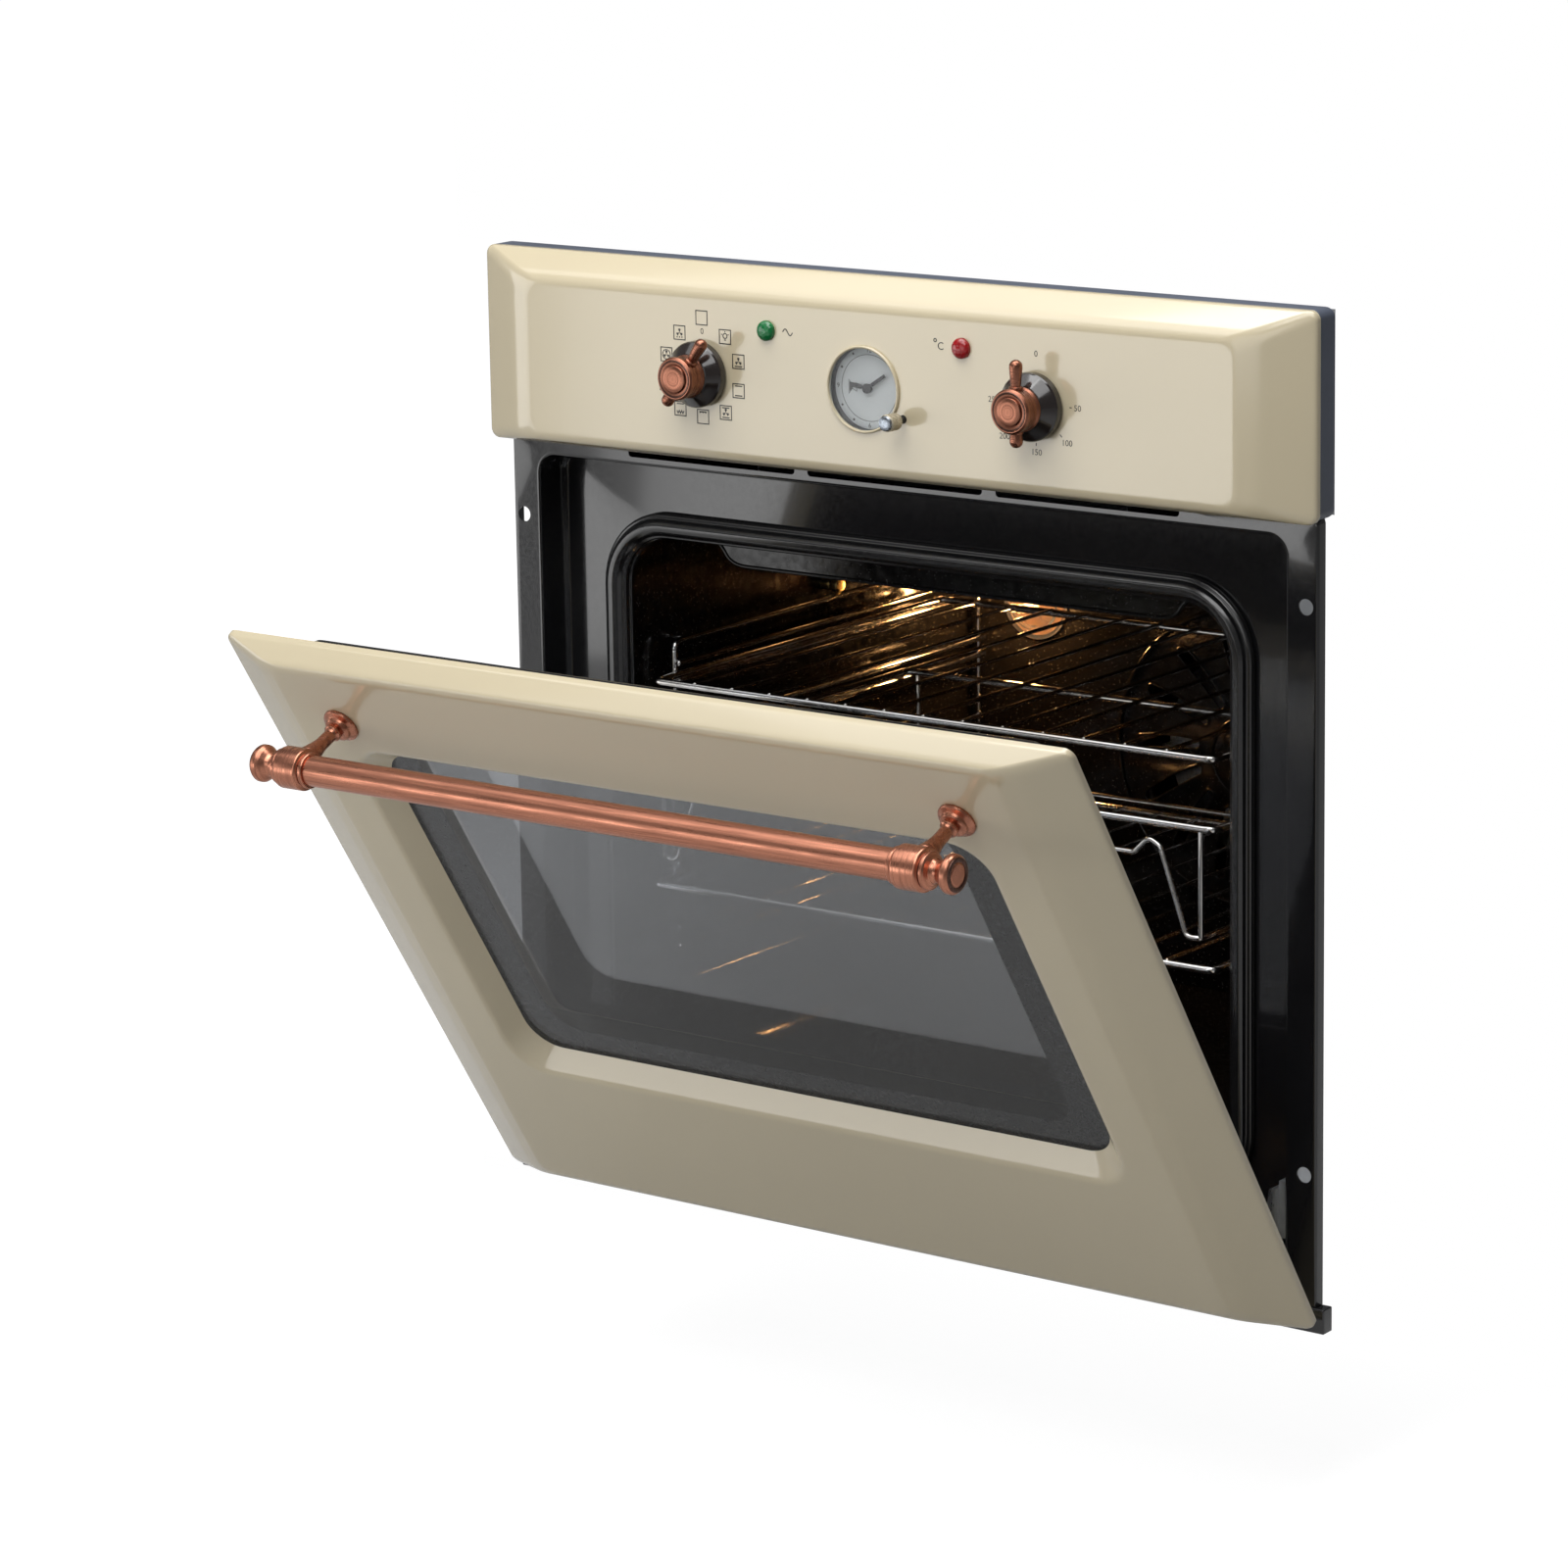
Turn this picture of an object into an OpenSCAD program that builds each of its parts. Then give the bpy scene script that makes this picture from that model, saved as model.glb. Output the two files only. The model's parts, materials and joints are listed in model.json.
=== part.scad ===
/* [Front] */
// Width of the control panel and the door
front_w = 595; // [585:1:600]
// Height of the whole front
front_h = 595; // [585:1:600]
// Height of the control panel
panel_h = 120.5; // [112:0.5:128]
// Gap between the control panel and the door
door_gap = 4.5; // [3:0.5:7]
// Height of the door's lower edge above the base
door_bottom = 8; // [7:0.5:9]
// How far the panel and door fronts stand in front of the mounting flange
front_reach = 29; // [26:1:32]
// How far the back of the panel and door skins stands in front of the flange
skin_back = 9; // [8:0.5:10]
// Width of the sloping border at the sides of the panel and the door
side_bevel = 39; // [30:1:46]
// Height of the sloping border at the panel's top and the door's bottom
long_bevel = 15; // [10:1:18]
// Height of the steep edge between the panel and the door
short_bevel = 5; // [3:1:8]
// Thickness of the enamelled sheet of the panel and the door
skin_t = 1.5; // [1:0.1:2]

/* [Mounting flange] */
// How far each side of the flange stays inside the front's width
flange_inset = 6.5; // [5:0.5:9]
// Width of the flat strip with the fixing holes
flange_strip = 21; // [19:0.5:24]
// Thickness of the pressed frame
frame_t = 1.2; // [1:0.1:1.5]
// Depth of the rim behind the flange
rim_depth = 8; // [6:0.5:10]
// Depth of the recess that the door closes into
recess_depth = 24; // [23:0.5:27]
// Radius of the fixing holes
hole_r = 4.75; // [3:0.25:5]
// Height of the lower fixing holes
hole_low_z = 93; // [80:1:110]
// Distance of the upper fixing holes below the flange's top
hole_drop = 50.5; // [46:0.5:60]

/* [Casing] */
// How far each side of the casing stays inside the front's width
case_inset = 20; // [18.5:0.5:22.5]
// Depth of the casing behind the flange
case_depth = 540; // [520:2:560]
// How far the casing's top stays below the front's top
case_drop = 15; // [13:1:20]
// Thickness of the casing sheet
sheet_t = 1.2; // [0.8:0.1:1.5]

/* [Cavity] */
// Width of the recess's floor beside the cavity's mouth
mouth_side = 51; // [48:1:55]
// Distance of the mouth's top below the recess's top
mouth_drop = 50; // [47:1:56]
// Height of the bottom of the mouth
mouth_bottom = 73; // [66:1:78]
// Corner radius of the mouth
mouth_r = 31; // [25:1:36]
// Depth of the cavity behind the recess
cavity_depth = 400; // [390:1:410]
// Space between the fan cover and the cavity's back wall
fan_space = 28; // [26:1:32]
// Thickness of the insulation
wool_t = 22; // [18:1:24]
// Distance of the fan's axis below the cavity's middle
fan_drop = 14.5; // [5:0.5:25]

/* [Shelves] */
// Height of the lowest rack level
level_low_z = 154; // [146:1:158]
// Distance of the highest rack level below the cavity's ceiling
level_drop = 94; // [90:1:110]
// Distance of a shelf's outer wires from its side bars
wire_margin = 32; // [20:1:40]
// Depth of a shelf from front bar to rear bar
shelf_depth = 311; // [300:1:320]

/* [Door] */
// Angle at which the door stands at rest
door_rest = 33; // [20:0.5:45]
// Width of the door skin beside the window
window_side = 72.5; // [69.5:0.5:82.5]
// Height of the window's lower edge
window_low_z = 129; // [122:1:140]
// Distance of the window's top below the door's top
window_drop = 67; // [61:1:80]
// Depth and width of the sloping reveal round the window
reveal = 12; // [9:0.5:14]
// Thickness of each pane
pane_t = 4; // [3:0.5:4]
// Distance of the hinge axis in front of the flange
hinge_reach = 7; // [6.5:0.5:8]
// Height of the hinge axis
hinge_z = 11; // [10.5:0.5:11.5]

/* [Handle] */
// Distance of each handle post from the door's side
post_inset = 79.5; // [75.5:0.5:87.5]
// Distance of the post feet below the door's top
foot_drop = 46; // [38:1:52]
// Height of the bar's axis above the post feet
bar_rise = 6.5; // [4:0.5:10]
// Distance of the bar's axis in front of the door skin
bar_reach = 44; // [42:1:50]
// Radius of the bar
bar_r = 9; // [8:0.5:10]

/* [Controls] */
// Distance of each knob from the middle of the panel
knob_x = 120; // [115:1:125]
// Distance of the knobs and the clock below the panel's top
knob_drop = 65; // [60:1:68]
// Radius of a knob's black skirt
skirt_r = 20; // [18:0.5:22]
// Angle at which the function knob stands at rest
selector_rest = 36; // [0:36:324]
// Distance of each lamp from the middle of the panel
lamp_x = 70; // [65:1:75]
// Distance of the lamps below the panel's top
lamp_drop = 35.5; // [32:0.5:40]
// Radius of the clock's bezel
bezel_r = 26; // [25:0.5:28]

/* [Hidden] */
$fn = 64;
half_w = front_w / 2;
seat_y = rim_depth;
case_end_y = seat_y + case_depth;
case_h = front_h - case_drop;
case_half = half_w - case_inset;
// The row's origin is the middle of the casing's underside
mid_y = (seat_y + case_end_y) / 2;
panel_bottom = front_h - panel_h;
door_top = panel_bottom - door_gap;
face_y = -front_reach;
back_y = -skin_back;
rim_band = 4;
edge_r = 6;
face_r = 10;
frame_half = half_w - flange_inset;
frame_top = panel_bottom + 1;
box_bottom = frame_top + 0.5;
box_wall = 1.5;
slot_h = 5;
slot_w = 126.5;
slot_pitch = slot_w + 9.5;
slot_bottom = frame_top - 2 - slot_h;
recess_half = frame_half - flange_strip;
recess_top = slot_bottom - 4.5;
recess_bottom = 16;
recess_r = 12;
hole_x = frame_half - 8;
hole_rise = frame_top - hole_drop - hole_low_z;
mouth_half = recess_half - mouth_side;
mouth_top = recess_top - mouth_drop;
seal_w = 17;
seal_gap = 0.4;
pan_back_y = recess_depth - 10;
cavity_half = mouth_half + 2;
cavity_top = mouth_top + 2;
cavity_bottom = mouth_bottom - 8;
cavity_r = mouth_r - 1;
cavity_y = recess_depth + frame_t;
cavity_end_y = cavity_y + cavity_depth;
cover_y = cavity_end_y - fan_space;
cover_t = 1.2;
fan_z = (cavity_bottom + cavity_top) / 2 - fan_drop;
run = 0.05;
screw_inset = 30;
knob_z = front_h - knob_drop;
lamp_z = front_h - lamp_drop;
shaft_r = 3;
switch_size = 40;
switch_y = seat_y + 28;
case_r = bezel_r - 1;
sleeve_t = 0.8;
stem_dx = bezel_r + 2;
stem_dz = -15.5;
rack_x = cavity_half - 11;
rail_r = 2;
rail_x = rack_x - 2 * rail_r + 0.1;
rack_front_y = cavity_y + 30;
rack_rear_y = cover_y - 6;
rack_levels = 5;
level_pitch = (cavity_top - level_drop - level_low_z) / (rack_levels - 1);
rack_low_z = level_low_z - 30;
rack_top_z = level(4) + 20;
bar_wire_r = 2.5;
shelf_gap = 0.3;
tray_drop = 66;
tray_wire_r = 1.8;
shelf_half = rack_x - rail_r - bar_wire_r - 0.7;
shelf_front_y = cavity_y + 3.3;
shelf_wires = 13;
wire_pitch = 2 * (shelf_half - wire_margin) / (shelf_wires - 1);
nut_y = cavity_y + 205;
nut_r = 4.5;
element_r = 3.3;
element_z = cavity_top - 17;
lamp_hole_r = 22;
cavity_lamp_x = 55 - cavity_half;
cavity_lamp_z = fan_z + 88;
fan_r = 72;
motor_y = cavity_end_y + frame_t;
blower_y = 112;
blower_r = 28;
blower_half = 120;
blower_box = [46, 178];
wool_gap = 0.3;
wool_half = cavity_half + frame_t + wool_gap + wool_t;
wool_top = cavity_top + frame_t + wool_gap + wool_t;
wool_bottom = cavity_bottom - frame_t - wool_gap - wool_t;
blower_z = wool_top + 65.5;
blower_top = blower_z + 45;
pan_half = recess_half - 8.5;
pan_bottom = recess_bottom + 8;
pan_top = recess_top - 15.5;
window_w = front_w - 2 * window_side;
window_h = door_top - window_drop - window_low_z;
pan_r = 10;
pan_window_half = window_w / 2 - 15;
inner_pane_half = pan_window_half + 8;
brace_t = 2;
glass_y = face_y + reveal;
hinge_y = -hinge_reach;
casing_x = pan_half - frame_t - 6.3;
casing_half = 5.7;
hinge_case_top = 170;
eye_r = 4.5;
pin_r = 2.5;
hook_x = pan_half + 0.6;
hook_t = 3;
foot_x = half_w - post_inset;
foot_z = door_top - foot_drop;
bar_y = face_y - bar_reach;
bar_z = foot_z + bar_rise;
collar_r = 12.5;
collar_half = 12;
post_angle = atan(bar_rise / bar_reach);
terminal_x = case_half - 87.5;
terminal_z = case_h - 65;
terminal_w = 80;
terminal_h = 60;
terminal_d = 22;
entry_r = 6;

function level(n) = level_low_z + n * level_pitch;

// Everything is drawn with the flange's front at y = 0 and then moved back onto the origin
module placed() translate([0, -mid_y, 0]) children();

// The door is drawn closed and swung open about its hinge axis
module on_door() placed() translate([0, hinge_y, hinge_z]) rotate([door_rest, 0, 0])
    translate([0, -hinge_y, -hinge_z]) children();

// Extrudes an outline drawn in x and z from depth y over a thickness t
module slab(y, t) translate([0, y + t, 0]) rotate([90, 0, 0]) linear_extrude(t) children();

module round_rect(half, low, high, r) {
    translate([-half + r, low]) square([2 * (half - r), high - low]);
    translate([-half, low + r]) square([2 * half, high - low - 2 * r]);
    for (x = [-half + r, half - r], z = [low + r, high - r]) translate([x, z]) circle(r);
}

module block(x0, x1, y0, y1, z0, z1) translate([x0, y0, z0]) cube([x1 - x0, y1 - y0, z1 - z0]);

module both_sides() {
    children();
    mirror([1, 0, 0]) children();
}

module rod_x(x0, x1, y, z, r) translate([x0, y, z]) rotate([0, 90, 0]) cylinder(h = x1 - x0, r = r);
module rod_y(y0, y1, x, z, r) translate([x, y0, z]) rotate([-90, 0, 0]) cylinder(h = y1 - y0, r = r);
module rod_z(z0, z1, x, y, r) translate([x, y, z0]) cylinder(h = z1 - z0, r = r);

// Turns a profile of radius and distance in front of y about an axis along y
module turned_y(x, y, z) translate([x, y, z]) rotate([90, 0, 0]) rotate_extrude() children();

// A pressed enamelled dish with sloping borders, open at the back
module dish(low, high, low_bevel, high_bevel) {
    difference() {
        dish_form(low, high, low_bevel, high_bevel, 0);
        dish_form(low, high, low_bevel, high_bevel, skin_t);
    }
}

module dish_form(low, high, low_bevel, high_bevel, cut) {
    grow = cut > 0 ? 1 : 0;
    hull() {
        slab(back_y - rim_band + cut, rim_band - cut + grow)
            round_rect(half_w - cut, low + cut, high - cut, edge_r - cut / 2);
        slab(face_y + cut, 0.5)
            round_rect(half_w - side_bevel, low + low_bevel, high - high_bevel, face_r);
    }
}

// The wire shelf's ends stay inside the rack's posts
module wire_shelf(z, front_y, rear_y) {
    both_sides() rod_y(front_y, rear_y, shelf_half, z, bar_wire_r);
    for (y = [front_y, rear_y]) {
        rod_x(-shelf_half, shelf_half, y, z, bar_wire_r);
        both_sides() translate([shelf_half, y, z]) sphere(bar_wire_r);
    }
    for (i = [0 : shelf_wires - 1])
        rod_y(front_y - 1, rear_y + 1, (i - (shelf_wires - 1) / 2) * wire_pitch, z + 1.8, 1.3);
}

// A slanting wire in a plane of constant depth, with a rounded end where the next one meets it
module slant(a, b, y, r) {
    translate([a[0], y, a[1]]) rotate([0, atan2(b[0] - a[0], b[1] - a[1]), 0]) cylinder(r = r, h = norm(b - a));
    translate([b[0], y, b[1]]) sphere(r + 0.2);
}

module front_frame() color("#101113") placed() difference() {
    union() {
        slab(0, frame_t) difference() {
            round_rect(frame_half, 0, frame_top, 2);
            round_rect(recess_half, recess_bottom, recess_top, recess_r);
            for (i = [-1 : 1]) translate([i * slot_pitch - slot_w / 2, slot_bottom]) square([slot_w, slot_h]);
        }
        both_sides() block(frame_half - frame_t, frame_half, 0, rim_depth, 2, frame_top - 2);
        slab(0, recess_depth + frame_t) difference() {
            round_rect(recess_half + frame_t, recess_bottom - frame_t, recess_top + frame_t, recess_r);
            round_rect(recess_half, recess_bottom, recess_top, recess_r);
        }
        slab(recess_depth, frame_t) difference() {
            round_rect(recess_half + frame_t, recess_bottom - frame_t, recess_top + frame_t, recess_r);
            round_rect(mouth_half, mouth_bottom, mouth_top, mouth_r);
        }
    }
    for (x = [-hole_x, hole_x], z = [hole_low_z, hole_low_z + hole_rise]) rod_y(-1, frame_t + 1, x, z, hole_r);
}

module base_trim() color("#15161a") placed() {
    block(-half_w, half_w, -2, 0, 0, recess_bottom - frame_t);
    both_sides() block(frame_half, half_w, -1, rim_depth, 0, recess_bottom - frame_t);
}

module panel_box() color("#3c434e") placed() difference() {
    slab(back_y, rim_depth + skin_back) round_rect(half_w, box_bottom, front_h, 5);
    slab(back_y - 1, rim_depth + skin_back + 1 - box_wall)
        round_rect(half_w - box_wall, box_bottom + box_wall, front_h - box_wall, 4);
    for (x = [-knob_x, knob_x]) rod_y(0, rim_depth + 1, x, knob_z, 5.3);
    rod_y(0, rim_depth + 1, 0, knob_z, case_r + 0.3);
    rod_y(0, rim_depth + 1, stem_dx, knob_z + stem_dz, 8);
}

module control_panel() color("#cfc7ae") placed() difference() {
    dish(panel_bottom, front_h, short_bevel, long_bevel);
    for (x = [-knob_x, knob_x]) rod_y(face_y - 1, back_y, x, knob_z, 4.5);
    for (x = [-lamp_x, lamp_x]) rod_y(face_y - 1, back_y, x, lamp_z, 5.8);
    rod_y(face_y - 1, back_y, 0, knob_z, case_r + 0.2);
    rod_y(face_y - 1, back_y, stem_dx, knob_z + stem_dz, 2.6);
}

module casing_sides() color("#a9adb1") placed()
    both_sides() {
        block(case_half - sheet_t, case_half, seat_y, case_end_y, sheet_t, case_h - sheet_t);
        block(case_half - sheet_t, case_half, frame_t, seat_y, sheet_t, frame_top - 2);
    }

module casing_top() color("#a9adb1") placed() difference() {
    block(-case_half, case_half, seat_y, case_end_y, case_h - sheet_t, case_h);
    for (i = [-4 : 4]) block(i * 24 - 8, i * 24 + 8, case_end_y - 110, case_end_y - 104, case_h - 2, case_h + 1);
}

module casing_back() color("#a9adb1") placed() difference() {
    block(-case_half + sheet_t, case_half - sheet_t, case_end_y - sheet_t, case_end_y, sheet_t, case_h - sheet_t);
    for (i = [0 : 8]) block(-200, -60, case_end_y - 3, case_end_y + 1, 60 + i * 18, 66 + i * 18);
    rod_y(case_end_y - 3, case_end_y + 1, terminal_x, terminal_z, 12);
}

module casing_base() color("#a9adb1") placed()
    block(-case_half, case_half, seat_y, case_end_y, 0, sheet_t);

module casing_screws() color("#c4c6c8") placed() {
    for (z = [screw_inset, case_h / 2, case_h - screw_inset]) {
        for (x = [-1, 1]) rod_y(case_end_y, case_end_y + 2.2, x * (case_half - 12), z, 3.8);
        for (y = [seat_y + 52, case_end_y - 88]) both_sides() rod_x(case_half, case_half + 2.2, y, z, 3.8);
    }
}

module cavity() color("#17130f") placed() difference() {
    union() {
        slab(cavity_y, frame_t)
            round_rect(cavity_half + 15, cavity_bottom - 15, cavity_top + 15, cavity_r + 10);
        slab(cavity_y, cavity_depth + frame_t)
            round_rect(cavity_half + frame_t, cavity_bottom - frame_t, cavity_top + frame_t, cavity_r + frame_t);
    }
    slab(cavity_y - 1, cavity_depth + 1) round_rect(cavity_half, cavity_bottom, cavity_top, cavity_r);
    rod_y(cavity_end_y - 1, cavity_end_y + 3, 0, fan_z, 6);
    rod_y(cavity_end_y - 1, cavity_end_y + 3, cavity_lamp_x, cavity_lamp_z, lamp_hole_r + 0.3);
    for (x = [-30, 30]) rod_y(cavity_end_y - 1, cavity_end_y + 3, x, element_z, element_r + 0.5);
    for (x = [-12, 12]) rod_y(cavity_end_y - 1, cavity_end_y + 3, x, fan_z + 92, element_r + 0.5);
}

module insulation() color("#b9b08f") placed() difference() {
    slab(cavity_y + 14, cavity_depth - 14 + frame_t + wool_gap + wool_t)
        round_rect(wool_half, wool_bottom, wool_top, cavity_r + wool_t);
    slab(cavity_y, cavity_depth + frame_t + wool_gap) round_rect(cavity_half + frame_t + wool_gap,
        cavity_bottom - frame_t - wool_gap, cavity_top + frame_t + wool_gap, cavity_r + frame_t + wool_gap);
    rod_y(cavity_end_y, cavity_end_y + 40, 0, fan_z, 30);
    rod_y(cavity_end_y, cavity_end_y + 40, cavity_lamp_x, cavity_lamp_z, lamp_hole_r + 1);
    for (x = [-30, 30]) rod_y(cavity_end_y, cavity_end_y + 40, x, element_z, element_r + 2);
    for (x = [-12, 12]) rod_y(cavity_end_y, cavity_end_y + 40, x, fan_z + 92, element_r + 2);
    floor_loop(element_r + 0.2);
}

module door_seal() color("#1b1b1d") placed() {
    slab(recess_depth - 6, 6) difference() {
        round_rect(mouth_half + seal_w, mouth_bottom - seal_w, mouth_top + seal_w, mouth_r + seal_w);
        round_rect(mouth_half + 1, mouth_bottom - 1, mouth_top + 1, mouth_r + 1);
    }
    slab(pan_back_y + seal_gap, 5) difference() {
        round_rect(mouth_half + 13, mouth_bottom - 13, mouth_top + 13, mouth_r + 13);
        round_rect(mouth_half + 5, mouth_bottom - 5, mouth_top + 5, mouth_r + 5);
    }
}

module ceiling_lip() color("#26262a") placed() {
    slab(cavity_y + 28, 1.2) intersection() {
        round_rect(cavity_half - 0.3, cavity_bottom, cavity_top - 0.3, cavity_r);
        union() {
            translate([-160, cavity_top - 20]) square([320, 20]);
            for (x = [-145, 145]) translate([x, cavity_top - 8]) circle(13);
        }
    }
    block(-150, 150, cavity_y + 28, cavity_y + 60, cavity_top - 1.5, cavity_top - 0.3);
}

module fan_cover() color("#1a1613") placed() slab(cover_y, cover_t) difference() {
    round_rect(cavity_half - 0.3, cavity_bottom + 0.3, cavity_top - 0.3, cavity_r - 0.3);
    translate([cavity_lamp_x, cavity_lamp_z]) circle(lamp_hole_r + 0.3);
    for (x = [-30, 30]) translate([x, element_z]) circle(element_r + 0.5);
    translate([0, fan_z]) {
        for (i = [0 : 13]) rotate(i * 360 / 14 + 8) translate([6, 0]) {
            translate([34, -4.5]) square([46, 9]);
            for (x = [34, 80]) translate([x, 0]) circle(4.5);
        }
        circle(9);
    }
}

module fan_motor() color("#8b8e92") placed() difference() {
    union() {
        rod_y(motor_y, motor_y + 24, 0, fan_z, 12);
        rod_y(motor_y + 24, motor_y + 26, 0, fan_z, 44);
        rod_y(motor_y + 26, motor_y + 62, 0, fan_z, 32);
    }
    rod_y(motor_y - 1, motor_y + 45, 0, fan_z, shaft_r + run);
}

module fan_wheel() color("#9a9a98") placed() {
    rod_y(cover_y + 6, motor_y + 40, 0, fan_z, shaft_r);
    rod_y(cover_y + 5, cover_y + 21, 0, fan_z, 9);
    rod_y(cover_y + 19, cover_y + 20.2, 0, fan_z, fan_r);
    for (i = [0 : 9]) translate([0, 0, fan_z]) rotate([0, i * 36, 0])
        block(24, fan_r - 2, cover_y + 7, cover_y + 19.5, -0.7, 0.7);
}

module ring_heater() color("#4a3c34") placed() {
    translate([0, cover_y + 14, fan_z]) rotate([90, 0, 0])
        rotate_extrude() translate([92, 0]) circle(element_r);
    for (x = [-12, 12]) rod_y(cover_y + 14, motor_y + 30, x, fan_z + 92, element_r);
    block(-22, 22, cavity_end_y - 1.5, cavity_end_y, fan_z + 84, fan_z + 100);
}

// A corner of a heating tube
module elbow(x, y, z, r) translate([x, y, z]) sphere(r + 0.3);

module grill_element() color("#4a3c34") placed() {
    near_y = cavity_y + 60;
    far_y = cover_y - 30;
    both_sides() {
        rod_y(near_y + 18, motor_y + 30, 30, element_z, element_r);
        rod_x(30, 90, near_y + 18, element_z, element_r);
        rod_y(near_y + 18, far_y, 90, element_z, element_r);
        rod_x(90, 150, far_y, element_z, element_r);
        rod_y(near_y, far_y, 150, element_z, element_r);
        for (x = [30, 90]) elbow(x, near_y + 18, element_z, element_r);
        for (x = [90, 150]) elbow(x, far_y, element_z, element_r);
        elbow(150, near_y, element_z, element_r);
        block(89.4, 90.6, near_y + 60, near_y + 72, element_z, cavity_top - 0.3);
    }
    rod_x(-150, 150, near_y, element_z, element_r);
    block(-42, 42, cavity_end_y - 1.5, cavity_end_y, element_z - 8, element_z + 8);
}

module floor_loop(r) {
    z = cavity_bottom - frame_t - wool_gap - 8;
    near_y = cavity_y + 70;
    far_y = cavity_end_y - 60;
    for (x = [-120, 120]) {
        rod_y(near_y, far_y, x, z, r);
        for (y = [near_y, far_y]) elbow(x, y, z, r);
    }
    for (y = [near_y, far_y]) rod_x(-120, 120, y, z, r);
}

module floor_element() color("#4a3c34") placed() floor_loop(element_r);

module lamp_housing() color("#b7b3aa") placed() difference() {
    rod_y(cover_y + cover_t - 1, motor_y + 26, cavity_lamp_x, cavity_lamp_z, lamp_hole_r);
    rod_y(cover_y - 1, motor_y + 22, cavity_lamp_x, cavity_lamp_z, lamp_hole_r - 2);
}

module lamp_lens() color("#ffd9a0") placed() difference() {
    union() {
        rod_y(cover_y - 3, cover_y, cavity_lamp_x, cavity_lamp_z, lamp_hole_r + 3);
        turned_y(cavity_lamp_x, cover_y - 3, cavity_lamp_z) intersection() {
            translate([0, -16]) circle(26);
            square([lamp_hole_r, 12]);
        }
    }
    rod_y(cover_y - 7, cover_y + 1, cavity_lamp_x, cavity_lamp_z, lamp_hole_r - 5);
}

module side_racks() color("#b9bcc0") placed() both_sides() {
    for (y = [rack_front_y, rack_rear_y]) rod_z(rack_low_z, rack_top_z, rack_x, y, rail_r);
    for (z = [rack_low_z, rack_top_z]) {
        rod_y(rack_front_y, rack_rear_y, rack_x, z, rail_r);
        for (y = [rack_front_y, rack_rear_y]) translate([rack_x, y, z]) sphere(rail_r);
        rod_x(rack_x, cavity_half - 0.3, rack_front_y + 12, z, rail_r - 0.3);
    }
    for (n = [0 : rack_levels - 1]) {
        low_z = level(n) - bar_wire_r - shelf_gap - rail_r;
        for (z = [low_z, low_z + 11.5]) rod_y(rack_front_y - 2, rack_rear_y + 2, rail_x, z, rail_r);
    }
    for (z = [rack_low_z, rack_top_z]) rod_y(rack_rear_y, cover_y - 0.3, rack_x, z, rail_r - 0.3);
}

module rack_nuts() color("#c9b48a") placed() both_sides() {
    nut_z = rack_top_z + rail_r + nut_r + 1.1;
    rod_x(cavity_half - 10, cavity_half, nut_y, nut_z, nut_r);
    rod_x(cavity_half - 15, cavity_half - 10, nut_y, nut_z, nut_r + 1);
}

module upper_shelf() color("#c3c6ca") placed() wire_shelf(level(4), shelf_front_y, shelf_front_y + shelf_depth);
module lower_shelf() color("#c3c6ca") placed() wire_shelf(level(1), shelf_front_y, shelf_front_y + shelf_depth);

// An open wire basket for a roasting tray: a frame on the rack with a bent wire hung low in front
module tray_frame() color("#c3c6ca") placed() {
    front_y = shelf_front_y;
    rear_y = front_y + shelf_depth - 40;
    z = level(3);
    post_x = shelf_half - 9;
    low_z = z - tray_drop;
    bends = [[post_x, low_z], [post_x - 10, low_z], [post_x - 28, z - 14], [post_x - 36, z - 10], [post_x - 46, z - 20]];
    both_sides() {
        rod_y(front_y, rear_y, shelf_half, z, bar_wire_r);
        rod_y(front_y, rear_y, post_x, low_z, tray_wire_r);
        for (y = [front_y, rear_y]) {
            translate([shelf_half, y, z]) sphere(bar_wire_r);
            rod_z(low_z, z, post_x, y, tray_wire_r);
            translate([post_x, y, low_z]) sphere(tray_wire_r + 0.2);
        }
        for (i = [0 : 3]) slant(bends[i], bends[i + 1], front_y, tray_wire_r);
    }
    rod_x(46 - post_x, post_x - 46, front_y, z - 20, tray_wire_r);
    rod_x(-post_x, post_x, rear_y, low_z, tray_wire_r);
    for (y = [front_y, rear_y]) rod_x(-shelf_half, shelf_half, y, z, bar_wire_r);
}

// A lamp's lens stands in a hole of the panel with a stem behind it
module lamp_body(x) placed() {
    rod_y(face_y, back_y, x, lamp_z, 5.7);
    turned_y(x, face_y, lamp_z) intersection() {
        translate([0, -3.5]) circle(8);
        square([6.3, 10]);
    }
    rod_y(back_y, seat_y - box_wall, x, lamp_z, 4);
}

module green_lamp() color("#0f7a37") lamp_body(-lamp_x);
module red_lamp() color("#a3141f") lamp_body(lamp_x);

module switch_body(x, deep) placed() difference() {
    union() {
        block(x - switch_size / 2, x + switch_size / 2, seat_y, seat_y + deep,
            knob_z - switch_size / 2, knob_z + switch_size / 2);
        rod_y(back_y, seat_y + 1, x, knob_z, 5);
    }
    rod_y(back_y - 1, seat_y + 16, x, knob_z, shaft_r + run);
}

module selector_switch() color("#d8d4c4") switch_body(-knob_x, 28);
module thermostat() color("#9da0a3") switch_body(knob_x, 22);

module knob_skirt(x) turned_y(x, face_y, knob_z)
    polygon([[shaft_r + 0.2, 0.4], [skirt_r, 0.4], [skirt_r, 6.3], [skirt_r - 0.8, 7.1],
        [13.2, 12.5], [shaft_r + 0.2, 12.5]]);

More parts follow.
